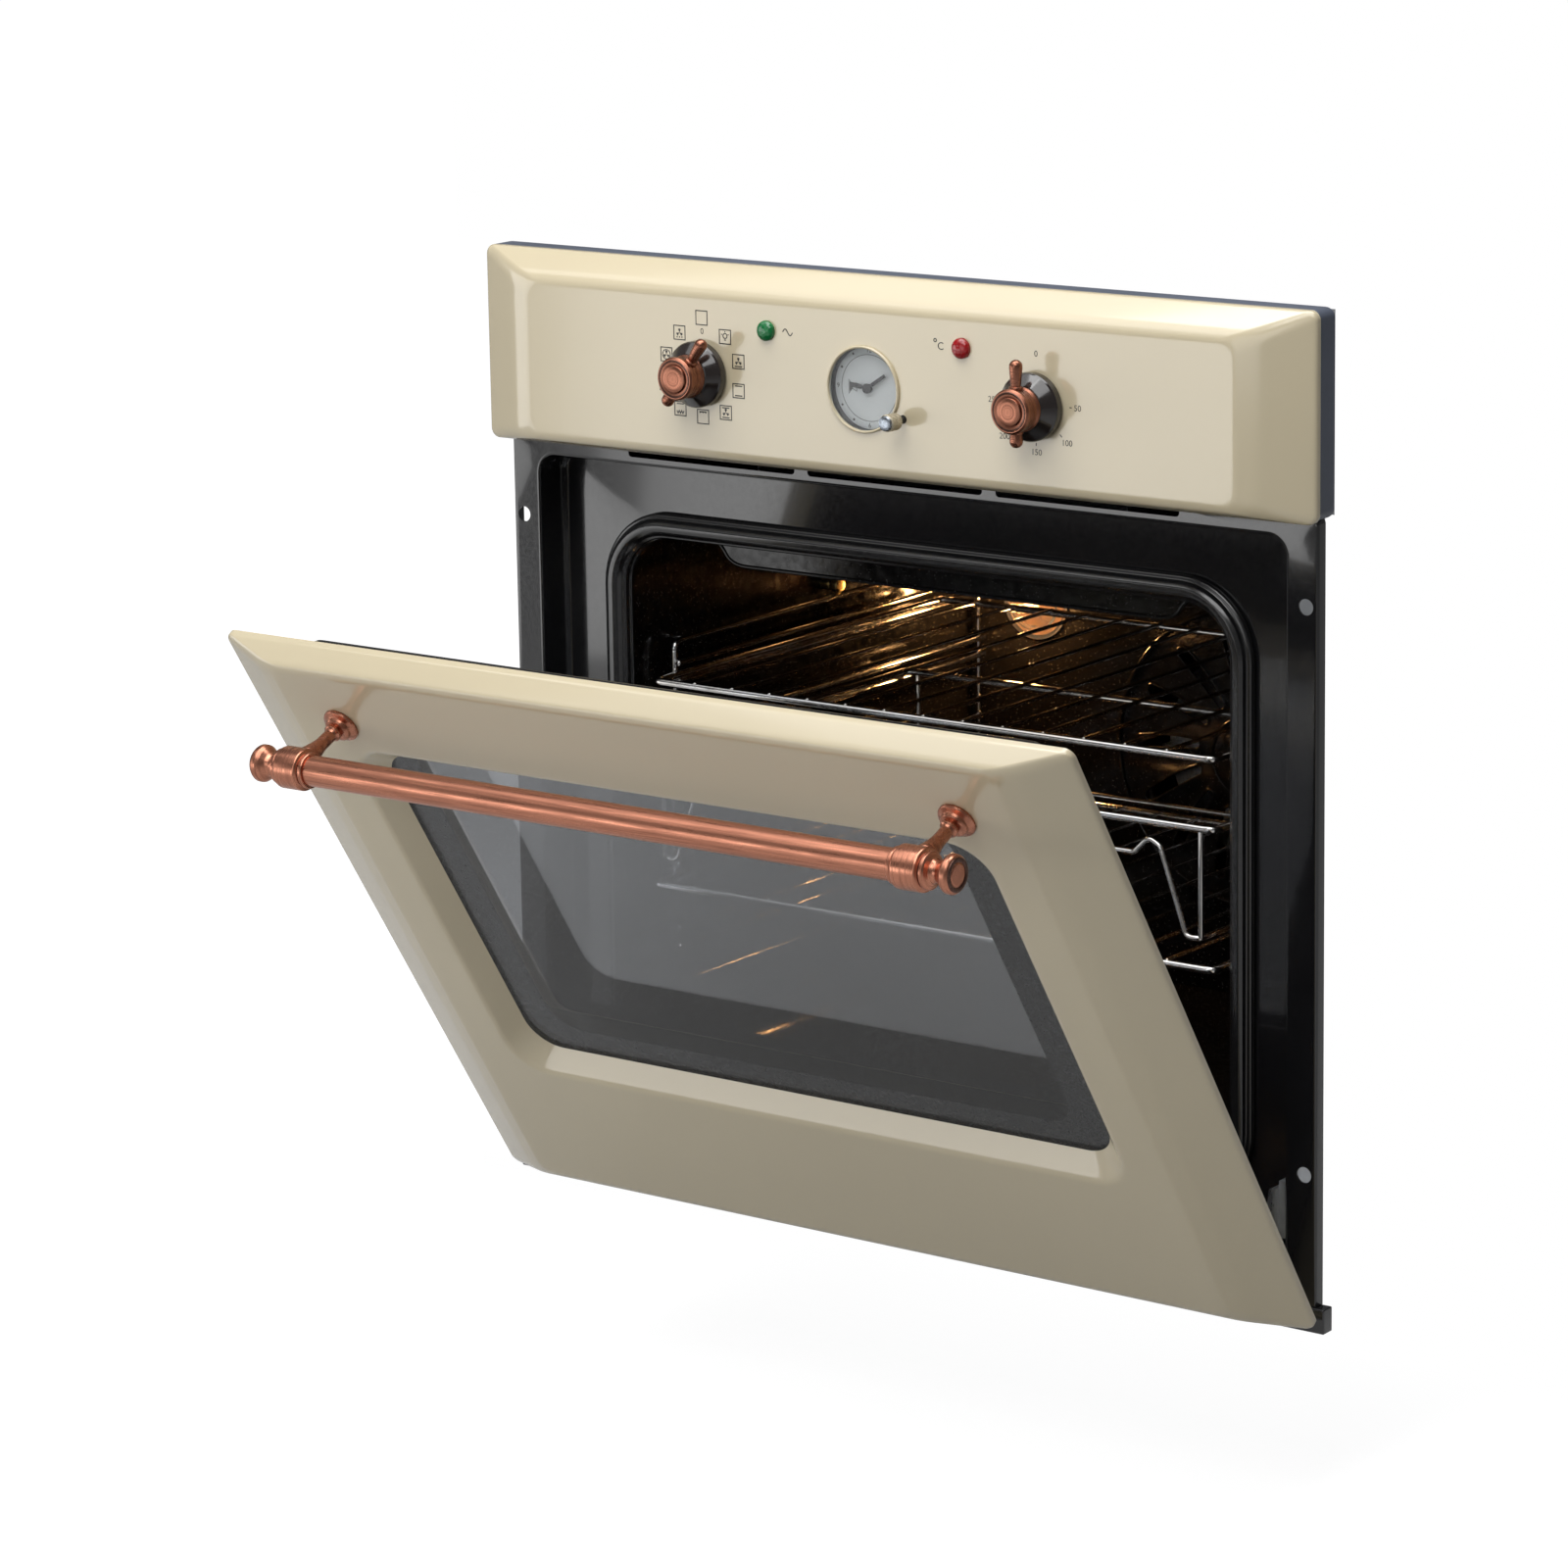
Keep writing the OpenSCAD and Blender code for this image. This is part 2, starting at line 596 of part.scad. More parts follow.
// Copper hub with its shaft, and a long and a short lever
module knob_grip(x, turn) translate([x, face_y, knob_z]) rotate([0, turn, 0]) {
    rotate([90, 0, 0]) rotate_extrude()
        polygon([[0, face_y - seat_y - 14], [shaft_r, face_y - seat_y - 14], [shaft_r, 12.5], [13, 12.5],
            [13, 14], [12.3, 15], [12.3, 21.5], [13, 22.5], [13, 25], [11.8, 26], [8.6, 26], [8.6, 23.5], [0, 23.5]]);
    translate([0, -18.5, 0]) {
        lever(25.3);
        mirror([0, 0, 1]) lever(17.9);
    }
}

module lever(length) {
    rotate_extrude() polygon([[0, 10], [2.7, 10], [3.9, length - 1], [3.9, length], [0, length]]);
    translate([0, 0, length]) sphere(3.9);
}

module knob_cap(x) turned_y(x, face_y, knob_z)
    polygon([[0, 23.5], [8.5, 23.5], [8.5, 26.4], [7.9, 27.2], [0, 27]]);

module selector_skirt() color("#17161a") placed() knob_skirt(-knob_x);
module selector_grip() color("#b06c4c") placed() knob_grip(-knob_x, selector_rest);
module selector_cap() color("#a8766a") placed() knob_cap(-knob_x);
module thermostat_skirt() color("#17161a") placed() knob_skirt(knob_x);
module thermostat_grip() color("#b06c4c") placed() knob_grip(knob_x, 0);
module thermostat_cap() color("#a8766a") placed() knob_cap(knob_x);

dial_y = face_y + 6;

module clock_case() color("#55575b") placed() difference() {
    union() {
        rod_y(dial_y + 1, seat_y + 10, 0, knob_z, case_r);
        rod_y(face_y + skin_t + 1, seat_y + 10, stem_dx, knob_z + stem_dz, 6.5);
        block(0, stem_dx, seat_y + 2, seat_y + 10, knob_z + stem_dz - 6, knob_z);
    }
    rod_y(dial_y - 1, dial_y + 12, 0, knob_z, 1.5);
    rod_y(face_y, seat_y + 5, stem_dx, knob_z + stem_dz, 2 + run);
}

module clock_bezel() color("#c9c0a4") placed() turned_y(0, face_y, knob_z)
    polygon([[case_r - sleeve_t, -6], [case_r, -6], [case_r, 0], [bezel_r, 0], [bezel_r, 1.2],
        [bezel_r - 0.8, 2.4], [case_r - sleeve_t, 1.2]]);

module clock_dial() color("#c9cbc9") placed() difference() {
    rod_y(dial_y, dial_y + 1, 0, knob_z, case_r - 0.2);
    rod_y(dial_y - 1, dial_y + 2, 0, knob_z, 1.5);
}

module clock_glass() color("#dfe6ea") placed() rod_y(face_y - 0.8, face_y + 0.4, 0, knob_z, case_r - sleeve_t - run);

module hour_hand() color("#202124") placed() translate([0, dial_y, knob_z]) rotate([0, 277, 0]) difference() {
    union() {
        block(-0.9, 0.9, -1.6, -1, 0, 12.5);
        rod_y(-1.6, -0.3, 0, 0, 2.6);
        rod_y(-1, 11, 0, 0, 1.5 - run);
    }
    rod_y(-3, 12, 0, 0, 0.8 + run);
}

module minute_hand() color("#202124") placed() translate([0, dial_y, knob_z]) rotate([0, 57, 0]) {
    block(-0.8, 0.8, -3, -2.2, 0, 15);
    rod_y(-3.6, -2.2, 0, 0, 2.2);
    rod_y(-3, 10, 0, 0, 0.8);
}

module setting_knob() color("#d8cfb4") placed() {
    x = stem_dx;
    z = knob_z + stem_dz;
    rod_y(face_y - 8, seat_y + 4, x, z, 2);
    rod_y(face_y - 17.5, face_y - 7, x, z, 5.2);
    rod_y(face_y - 19, face_y - 17.5, x, z, 4.6);
}

module blower_housing() color("#9fa3a7") placed() {
    difference() {
        union() {
            difference() {
                block(-135, 135, blower_box[0], blower_box[1], wool_top, blower_top);
                block(-133.8, 133.8, blower_box[0] - 1, blower_box[1] - sheet_t, wool_top + sheet_t, blower_top - sheet_t);
            }
            both_sides() rod_x(129, 133.8, blower_y, blower_z, 7);
        }
        rod_x(-140, 140, blower_y, blower_z, shaft_r + run);
        block(-110, 110, blower_box[1] - 3, blower_box[1] + 1, blower_z - 20, blower_z + 20);
    }
}

module blower_wheel() color("#b4b7ba") placed() {
    rod_x(-139, 160, blower_y, blower_z, shaft_r);
    for (x = [-blower_half, -0.5, blower_half - 1]) rod_x(x, x + 1, blower_y, blower_z, blower_r);
    translate([0, blower_y, blower_z]) for (i = [0 : 15]) rotate([i * 22.5, 0, 0])
        block(-blower_half, blower_half, blower_r - 7, blower_r - 0.5, -0.4, 0.4);
}

module blower_motor() color("#7d8084") placed() difference() {
    union() {
        rod_x(135, 142, blower_y, blower_z, 8);
        rod_x(142, 180, blower_y, blower_z, 27);
        block(135, 170, blower_y - 30, blower_y + 30, wool_top, wool_top + 4);
        block(150, 170, blower_y - 10, blower_y + 10, wool_top, blower_z - 20);
    }
    rod_x(134, 165, blower_y, blower_z, shaft_r + run);
}

module terminal_box() color("#e6e4da") placed() difference() {
    block(terminal_x - terminal_w / 2, terminal_x + terminal_w / 2, case_end_y, case_end_y + terminal_d,
        terminal_z - terminal_h / 2, terminal_z + terminal_h / 2);
    block(terminal_x - terminal_w / 2 + 3, terminal_x + terminal_w / 2 - 3, case_end_y - 1,
        case_end_y + terminal_d - 3, terminal_z - terminal_h / 2 + 3, terminal_z + terminal_h / 2 - 3);
    rod_z(terminal_z - terminal_h / 2 - 1, terminal_z - terminal_h / 2 + 4, terminal_x,
        case_end_y + terminal_d / 2, entry_r);
}

module hinge_receivers() color("#a7a9ab") placed() both_sides() difference() {
    block(hook_x + hook_t, recess_half, 2, recess_depth - 1, 52, 86);
    rod_x(hook_x, recess_half + 1, 12, 60, 2);
}

// Steel hook from the frame down to the hinge pin
module hinge_hooks() color("#c2c4c6") placed() both_sides() {
    translate([hook_x, 0, 0]) rotate([90, 0, 90]) linear_extrude(hook_t) {
        translate([hinge_y, hinge_z]) circle(eye_r);
        polygon([[hinge_y - eye_r, hinge_z], [hinge_y + eye_r, hinge_z], [hinge_y + eye_r, 22],
            [recess_depth - 2, 22], [recess_depth - 2, 82], [-4, 82], [hinge_y - eye_r, 50]]);
    }
    rod_x(casing_x - casing_half + 0.5, hook_x + 0.5, hinge_y, hinge_z, pin_r);
}

module hinge_casings() color("#b3b5b7") on_door() both_sides() difference() {
    union() {
        block(casing_x - casing_half, casing_x + casing_half, hinge_y + 0.5, pan_back_y - frame_t,
            pan_bottom + 2, hinge_case_top);
        block(casing_x - casing_half, casing_x + casing_half, hinge_y - eye_r + 0.5, hinge_y + 14,
            recess_bottom + 1.5, pan_bottom + 6);
        block(casing_x - casing_half, casing_x + casing_half, hinge_y - eye_r + 0.5, hinge_y + 4,
            hinge_z, pan_bottom + 6);
        rod_x(casing_x - casing_half, casing_x + casing_half, hinge_y, hinge_z, eye_r);
    }
    block(casing_x - casing_half + 1, casing_x + casing_half - 1, hinge_y + 1.5, pan_back_y - frame_t - 1,
        hinge_z + 24, hinge_case_top - 8);
    rod_z(hinge_z + 20, hinge_case_top + 1, casing_x, spring_y, 2 + run);
    rod_x(casing_x - casing_half - 1, casing_x + casing_half + 1, hinge_y, hinge_z, pin_r + run);
}

spring_y = (hinge_y + pan_back_y - frame_t) / 2;
spring_r = 4.2;

module door_springs() color("#8f9296") on_door() both_sides() difference() {
    rod_z(hinge_z + 60, hinge_case_top - 8, casing_x, spring_y, spring_r);
    rod_z(hinge_z + 59, hinge_case_top - 7, casing_x, spring_y, 2.6);
}

module spring_rods() color("#c2c4c6") on_door() both_sides()
    rod_z(hinge_z + 50, hinge_case_top + 24, casing_x, spring_y, 2);

module door_skin() color("#cdc5ac") on_door() difference() {
    union() {
        dish(door_bottom, door_top, long_bevel, short_bevel);
        difference() {
            hull() window_form(skin_t, 0);
            hull() window_form(0, 1);
        }
    }
    hull() window_form(0, 1);
    both_sides() block(casing_x - casing_half - 2, hook_x + hook_t + 2, back_y - 6, 0, 0, hinge_z + 10);
}

// The window's reveal narrows from the skin's face to the outer pane
module window_form(grow, past) {
    low = window_low_z;
    high = window_low_z + window_h;
    slab(face_y + (past > 0 ? -past : 0.6), 0.5)
        round_rect(window_w / 2 + grow, low - grow, high + grow, 26 + grow);
    slab(glass_y - 0.5 + past, 0.5) round_rect(window_w / 2 - reveal + grow, low + reveal - grow,
        high - reveal + grow, 22 + grow);
}

module outer_glass() color("#3a3c40") on_door() slab(glass_y, pane_t)
    round_rect(window_w / 2 + 10, window_low_z - 10, window_low_z + window_h + 10, 12);

module inner_glass() color("#5a5c60") on_door() slab(pan_back_y - frame_t - pane_t, pane_t)
    round_rect(inner_pane_half, window_low_z + 18, window_low_z + window_h + 2, 8);

module door_pan() color("#121215") on_door() difference() {
    union() {
        slab(back_y, pan_back_y - back_y) difference() {
            round_rect(pan_half, pan_bottom, pan_top, pan_r);
            round_rect(pan_half - frame_t, pan_bottom + frame_t, pan_top - frame_t, pan_r - 1);
        }
        slab(pan_back_y - frame_t, frame_t) round_rect(pan_half, pan_bottom, pan_top, pan_r);
        both_sides() block(inner_pane_half + run, inner_pane_half + run + brace_t, glass_y + pane_t,
            pan_back_y - frame_t, window_low_z + 20, window_low_z + window_h - 20);
    }
    slab(pan_back_y - 3, 5) round_rect(pan_window_half, window_low_z + 30, window_low_z + window_h - 8, 20);
    both_sides() block(casing_x - casing_half - 0.5, pan_half + 1, back_y - 1, pan_back_y - frame_t,
        pan_bottom - 1, pan_bottom + pan_r);
}

module handle_bar() color("#b8785a") on_door() rod_x(-foot_x + collar_half, foot_x - collar_half, bar_y, bar_z, bar_r);

// Collar, waist and end button turned from one piece
module handle_ends() color("#b8785a") on_door() both_sides() translate([foot_x, bar_y, bar_z]) rotate([0, 90, 0])
    rotate_extrude() polygon([[0, -collar_half], [bar_r + 1.5, -collar_half], [bar_r + 1.5, -9], [collar_r, -8],
        [collar_r, 8], [bar_r + 1.5, 9], [bar_r + 1.5, collar_half], [7, collar_half + 1.5], [6, 17],
        [9.5, 21], [11, 23], [11, 26.5], [9.5, 28], [7.8, 28], [7.8, 26.5], [6.5, 26.5], [6.2, 27.6], [0, 27.6]]);

module handle_posts() color("#b8785a") on_door() difference() {
    both_sides() translate([foot_x, face_y, foot_z]) rotate([90 - post_angle, 0, 0]) rotate_extrude()
        polygon([[0, 0], [5, 0], [5, 8], [4.2, 9], [4.2, 20], [6, 22], [6, bar_reach - 8], [0, bar_reach - 8]]);
    rod_x(-half_w, half_w, bar_y, bar_z, collar_r);
    block(-half_w, half_w, face_y - 6, 0, foot_z - 20, foot_z + 20);
}

module handle_feet() color("#b8785a") on_door() for (x = [-foot_x, foot_x]) turned_y(x, face_y, foot_z)
    polygon([[0, 0], [11.5, 0], [11.5, 2], [9.6, 3.4], [9, 5], [7, 6], [0, 6]]);

front_frame();
base_trim();
panel_box();
control_panel();
casing_sides();
casing_top();
casing_back();
casing_base();
casing_screws();
cavity();
insulation();
door_seal();
ceiling_lip();
fan_cover();
fan_motor();
fan_wheel();
ring_heater();
grill_element();
floor_element();
lamp_housing();
lamp_lens();
side_racks();
rack_nuts();
upper_shelf();
tray_frame();
lower_shelf();
green_lamp();
red_lamp();
selector_switch();
thermostat();
selector_skirt();
selector_grip();
selector_cap();
thermostat_skirt();
thermostat_grip();
thermostat_cap();
clock_case();
clock_bezel();
clock_dial();
clock_glass();
hour_hand();
minute_hand();
setting_knob();
blower_housing();
blower_wheel();
blower_motor();
terminal_box();
hinge_receivers();
hinge_hooks();
hinge_casings();
door_springs();
spring_rods();
door_skin();
outer_glass();
inner_glass();
door_pan();
handle_bar();
handle_ends();
handle_posts();
handle_feet();
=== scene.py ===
"""Built-in oven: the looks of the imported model, its studio and its camera."""

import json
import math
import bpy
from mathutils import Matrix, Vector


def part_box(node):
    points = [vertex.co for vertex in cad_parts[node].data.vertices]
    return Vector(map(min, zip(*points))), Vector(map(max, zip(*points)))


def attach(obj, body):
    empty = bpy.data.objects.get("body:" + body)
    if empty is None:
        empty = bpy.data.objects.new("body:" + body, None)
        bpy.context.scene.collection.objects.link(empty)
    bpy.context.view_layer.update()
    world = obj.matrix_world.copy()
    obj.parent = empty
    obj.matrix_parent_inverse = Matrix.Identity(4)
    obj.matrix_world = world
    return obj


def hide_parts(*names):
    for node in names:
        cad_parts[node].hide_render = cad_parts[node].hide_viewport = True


bl_info = {
    "name": "Built-in oven",
    "version": (1, 0, 0),
    "blender": (4, 5, 0),
    "location": "View3D > Sidebar > Oven",
    "description": "Enamelled built-in oven with copper handle and knobs, door part open",
    "category": "Object",
}

from types import SimpleNamespace

import bmesh
import bpy
from bpy.props import FloatProperty, FloatVectorProperty, IntProperty, PointerProperty
from mathutils import Matrix, Vector

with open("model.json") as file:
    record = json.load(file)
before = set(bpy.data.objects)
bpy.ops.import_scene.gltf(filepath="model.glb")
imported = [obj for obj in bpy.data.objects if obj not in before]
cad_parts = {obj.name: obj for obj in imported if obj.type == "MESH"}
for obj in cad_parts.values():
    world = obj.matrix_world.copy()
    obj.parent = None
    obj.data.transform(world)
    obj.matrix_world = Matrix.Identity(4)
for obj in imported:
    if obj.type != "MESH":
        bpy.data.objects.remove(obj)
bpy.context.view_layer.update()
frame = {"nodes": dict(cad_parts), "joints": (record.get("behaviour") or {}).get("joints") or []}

# Shapes are drawn in millimetres, with the mounting flange's front at y = 0 and the base at z = 0
MM = 0.001
FLANGE_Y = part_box("front_frame")[0].y
HINGE = Vector(next(j["pos_m"] for j in frame["joints"] if j["name"] == "door_hinge"))
PANEL_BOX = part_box("control_panel")

# Angles in degrees below which neighbouring faces are shaded as one surface: on most pieces, and
# on wires and other thin shapes
SMOOTH = 32
SMOOTH_WIRE = 60
# Distance in metres at which points are welded
WELD = 0.000004
# Smallest radius in millimetres, where a turned piece meets its axis
POINT = 0.0001
# Thickness in millimetres of printed lines and letters, and the height of a capital letter as a
# share of its font size
PRINT = 0.07
CAPITAL = 0.72
# Height of the lowest rack level in millimetres, and the step from one level to the next
FIRST_LEVEL = 154
LEVEL_STEP = 42


# Short forms of the sizes and colours that the panel shows
def length(label, text, value):
    return FloatProperty(name=label, description=text, default=value, unit="LENGTH")


def turn(label, text, degrees):
    return FloatProperty(name=label, description=text, default=math.radians(degrees), subtype="ANGLE")


def count(label, text, value, low, high):
    return IntProperty(name=label, description=text, default=value, min=low, max=high)


def color(label, text, value):
    return FloatVectorProperty(name=label, description=text, default=value, subtype="COLOR", size=3)


class OvenSizes(bpy.types.PropertyGroup):
    """Sizes of the oven's visible pieces"""

    front_width: length(
        "Front width", "Width of the control panel and the door", PANEL_BOX[1].x - PANEL_BOX[0].x
    )
    front_height: length("Front height", "Height of the whole front", PANEL_BOX[1].z)
    panel_height: length(
        "Panel height", "Height of the control panel", PANEL_BOX[1].z - PANEL_BOX[0].z
    )
    door_angle: turn("Door angle", "Angle at which the door stands open at rest", 33)
    side_bevel: length(
        "Side border", "Width of the sloping border at the sides of panel and door", 0.039
    )
    window_width: length("Window width", "Width of the window in the door's skin", 0.45)
    window_height: length("Window height", "Height of the window in the door's skin", 0.274)
    knob_turn: turn("Function knob", "Turn of the function knob at rest", 36)
    shelf_wires: count(
        "Shelf wires", "Number of wires that run from front to rear in a shelf", 13, 5, 25
    )
    wire_pitch: length("Wire pitch", "Distance between the wires of a shelf", 0.0288)
    rack_levels: count("Rack levels", "Number of shelf levels in the side racks", 5, 3, 6)
    fan_slots: count("Fan slots", "Number of slots around the fan in the rear cover", 14, 8, 24)


class OvenFinishes(bpy.types.PropertyGroup):
    """Colours of the oven's finishes"""

    cream: color(
        "Cream enamel", "Colour of the control panel and the door's skin", (0.71, 0.618, 0.428)
    )
    black: color(
        "Black enamel", "Colour of the front frame and the door's inner panel",
        (0.0075, 0.0075, 0.0085),
    )
    box: color("Panel box", "Colour of the box behind the control panel", (0.12, 0.14, 0.19))
    copper: color(
        "Copper", "Colour of the brushed copper on the handle and knobs", (0.56, 0.235, 0.15)
    )
    patina: color(
        "Patina", "Dark brown in the copper's grooves and streaks", (0.06, 0.022, 0.016)
    )
    lamp_glow: color("Oven lamp", "Colour of the light from the oven's lamp", (1.0, 0.5, 0.17))


def plan():
    """The places that several pieces share, in millimetres."""
    sizes = bpy.context.scene.oven_sizes
    p = SimpleNamespace()
    p.half = sizes.front_width / MM / 2
    p.top = sizes.front_height / MM
    p.panel_low = p.top - sizes.panel_height / MM
    p.door_low = 8
    p.door_high = p.panel_low - 4.5
    p.face_y = -29
    p.back_y = -9
    p.skin = 1.5
    p.sheet = 1.2
    p.side_bevel = sizes.side_bevel / MM
    p.long_bevel = 15
    p.short_bevel = 5
    p.frame_half = p.half - 6.5
    p.frame_top = p.panel_low + 1
    p.frame_low = 0.4
    p.slot_low = p.frame_top - 7
    p.slot_high = p.slot_low + 5
    p.slot_half = 63.25
    p.slot_pitch = 136
    p.hole_x = p.frame_half - 8
    p.hole_z = (93, p.frame_top - 50.5)
    p.rim_y = 8
    p.trim_top = 14.8
    p.recess_half = p.frame_half - 21
    p.recess_low = 16
    p.recess_high = p.slot_low - 4.5
    # Half width, lower and upper edge, and corner radius
    p.mouth = (219, 73, 414, 31)
    p.cavity_half = 221
    p.cavity_low = 65
    p.cavity_high = 416
    p.cavity_y = 25.2
    p.cover_y = 397.2
    p.cavity_end = 425.2
    p.fan_z = 226
    p.knob_x = 120
    p.knob_z = p.top - 65
    p.lamp_x = 70
    p.lamp_z = p.top - 35.5
    p.window_half = sizes.window_width / MM / 2
    p.window_low = 129
    p.window_high = p.window_low + sizes.window_height / MM
    p.glass_y = p.face_y + 12
    p.pan_half = p.recess_half - 8.5
    p.pan_low = p.recess_low + 8
    p.pan_high = p.recess_high - 15.5
    p.pan_back = 14
    p.pan_window = p.window_half - 15
    p.foot_x = 218
    p.foot_z = 424
    p.bar_y = p.face_y - 44
    p.bar_z = p.foot_z + 6.5
    p.casing_half = p.half - 20
    p.casing_top = p.top - 15
    p.casing_end = 548
    p.oven_lamp = (55 - p.cavity_half, p.cover_y, p.fan_z + 88)
    p.oven_lamp_hole = 22.3
    p.rack_x = p.cavity_half - 11
    p.rack_front = p.cavity_y + 30
    p.rack_rear = p.cover_y - 6
    p.rack_low = level(0) - 30
    p.rack_top = level(4) + 20
    p.shelf_half = p.rack_x - 5.2
    p.shelf_front = p.cavity_y + 3.3
    p.shelf_rear = p.shelf_front + 311
    p.clock_r = 25
    p.dial_y = p.face_y + 6
    p.setter_x = 28
    p.setter_z = p.knob_z - 15.5
    p.sign_x = 54.6
    p.sign_z = p.lamp_z + 0.6
    return p


def level(index):
    """Height of a rack level, in millimetres."""
    return FIRST_LEVEL + LEVEL_STEP * index


def placed(on_door=False):
    """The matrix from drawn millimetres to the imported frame, for the door's pieces with its swing."""
    base = Matrix.Translation((0, FLANGE_Y, 0)) @ Matrix.Scale(MM, 4)
    if not on_door:
        return base
    swing = Matrix.Rotation(bpy.context.scene.oven_sizes.door_angle, 4, "X")
    return Matrix.Translation(HINGE) @ swing @ Matrix.Translation(-HINGE) @ base


# The ways in which a turned piece can point
AIMS = {
    "front": (0, -1, 0),
    "back": (0, 1, 0),
    "right": (1, 0, 0),
    "left": (-1, 0, 0),
}


def sideways(side):
    """The way out on the right for 1 and on the left for -1."""
    return "right" if side > 0 else "left"


class Shape:
    """Collects closed surfaces in millimetres before they become one mesh."""

    def __init__(self):
        self.points = []
        self.faces = []
        self.slots = []

    def loft(self, rings, closed=False, slot=0):
        """Skins a row of rings that all have the same number of points."""
        size = len(rings[0])
        spans = len(rings) if closed else len(rings) - 1
        faces = []
        for r in range(spans):
            a = r * size
            b = (r + 1) % len(rings) * size
            for i in range(size):
                j = (i + 1) % size
                faces.append((a + i, a + j, b + j, b + i))
        if not closed:
            faces.append(tuple(reversed(range(size))))
            faces.append(tuple((len(rings) - 1) * size + i for i in range(size)))
        first = len(self.points)
        self.points.extend(tuple(p) for ring in rings for p in ring)
        self.faces.extend(tuple(first + i for i in face) for face in faces)
        self.slots.extend([slot] * len(faces))
        return self

    def lathe(self, profile, centre, toward="front", steps=96, slot=0, closed=False):
        """Turns (radius, distance) pairs about an axis through centre."""
        aim = Vector(AIMS[toward] if isinstance(toward, str) else toward)
        spin = aim.normalized().to_track_quat("Z", "Y").to_matrix()
        round_trip = [2 * math.pi * i / steps for i in range(steps)]
        rings = [
            [
                Vector(centre) + spin @ Vector((r * math.cos(a), r * math.sin(a), distance))
                for a in round_trip
            ]
            for r, distance in profile
        ]
        return self.loft(rings, closed, slot)

    def cylinder(self, x, z, radius, y0, y1, steps=48, slot=0):
        """A plain cylinder along y."""
        return self.lathe([(radius, 0), (radius, y1 - y0)], (x, y0, z), "back", steps, slot)

    def tube(self, path, radius, sides=14, closed=False):
        """Sweeps a circle along a path of points."""
        path = [Vector(p) for p in path]
        last = len(path) - 1
        normal = None
        rings = []
        for i, here in enumerate(path):
            if closed:
                along = path[(i + 1) % len(path)] - path[i - 1]
            else:
                along = path[min(i + 1, last)] - path[max(i - 1, 0)]
            along.normalize()
            if normal is None:
                helper = Vector((0, 0, 1)) if abs(along.z) < 0.9 else Vector((1, 0, 0))
                normal = along.cross(helper).normalized()
            normal = (normal - along * normal.dot(along)).normalized()
            other = along.cross(normal)
            size = radius[i] if isinstance(radius, list) else radius
            ring = []
            for k in range(sides):
                a = 2 * math.pi * k / sides
                ring.append(here + normal * (size * math.cos(a)) + other * (size * math.sin(a)))
            rings.append(ring)
        return self.loft(rings, closed)

    def loop(self, corners, bend, radius, sides):
        """A closed wire with bent corners."""
        return self.tube(rounded_path(corners, bend, closed=True), radius, sides, closed=True)

    def rod(self, a, b, radius, sides=14):
        """A straight wire with rounded ends."""
        a = Vector(a)
        b = Vector(b)
        along = (b - a).normalized()
        bends = [math.pi / 2 * k / 4 for k in range(5)]
        setbacks = [radius * 0.6 * (1 - math.cos(t)) for t in bends]
        sizes = [max(radius * math.sin(t), POINT) for t in bends]
        path = [a + along * back for back in setbacks]
        path += [b - along * back for back in reversed(setbacks)]
        return self.tube(path, sizes + sizes[::-1], sides)

    def board(self, x0, x1, y0, y1, z0, z1, edge=0.8):
        """A block with its edges broken."""
        middle = (x0 + x1) / 2
        rings = []
        for y, cut in ((y0, edge), (y0 + edge, 0), (y1 - edge, 0), (y1, edge)):
            reach = (x1 - x0) / 2 - cut
            rings.append(rounded_ring(reach, z0 + cut, z1 - cut, max(edge, 0.2), y, 3, middle))
        return self.loft(rings)

    def prism(self, outline, y0, y1):
        """Extrudes an outline of (x, z) pairs between two depths."""
        return self.loft([[Vector((x, y, z)) for x, z in outline] for y in (y0, y1)])

    def stroke(self, points, width, y, closed=False):
        """A printed line of (x, z) pairs with mitred corners on the surface at y."""
        size = len(points)
        rings = []
        for i in range(size):
            here = Vector(points[i])
            before = here - Vector(points[i - 1]) if closed or i else None
            after = Vector(points[(i + 1) % size]) - here if closed or i < size - 1 else None
            a = (before or after).normalized()
            b = (after or before).normalized()
            along = (a + b).normalized()
            side = Vector((-along.y, along.x))
            reach = width / 2
            if before and after:
                reach /= max(0.5, side.dot(Vector((-a.y, a.x))))
            left = here + side * reach
            right = here - side * reach
            front = y - PRINT
            corners = ((left, front), (right, front), (right, y), (left, y))
            rings.append([Vector((q.x, depth, q.y)) for q, depth in corners])
        return self.loft(rings, closed)


def rounded_ring(half, low, high, radius, y, corner=10, middle=0):
    """Points round a rectangle with rounded corners."""
    ring = []
    for x, z, start in (
        (middle + half - radius, high - radius, 0),
        (middle - half + radius, high - radius, 90),
        (middle - half + radius, low + radius, 180),
        (middle + half - radius, low + radius, 270),
    ):
        for i in range(corner + 1):
            a = math.radians(start + 90 * i / corner)
            ring.append(Vector((x + radius * math.cos(a), y, z + radius * math.sin(a))))
    return ring


def growing(half, low, high, radius, corner=10):
    """A rounded rectangle's ring as a function of how far it is grown and its depth."""

    def ring(grow, y, other_radius=None):
        bend = radius + grow if other_radius is None else other_radius
        return rounded_ring(half + grow, low - grow, high + grow, bend, y, corner)

    return ring


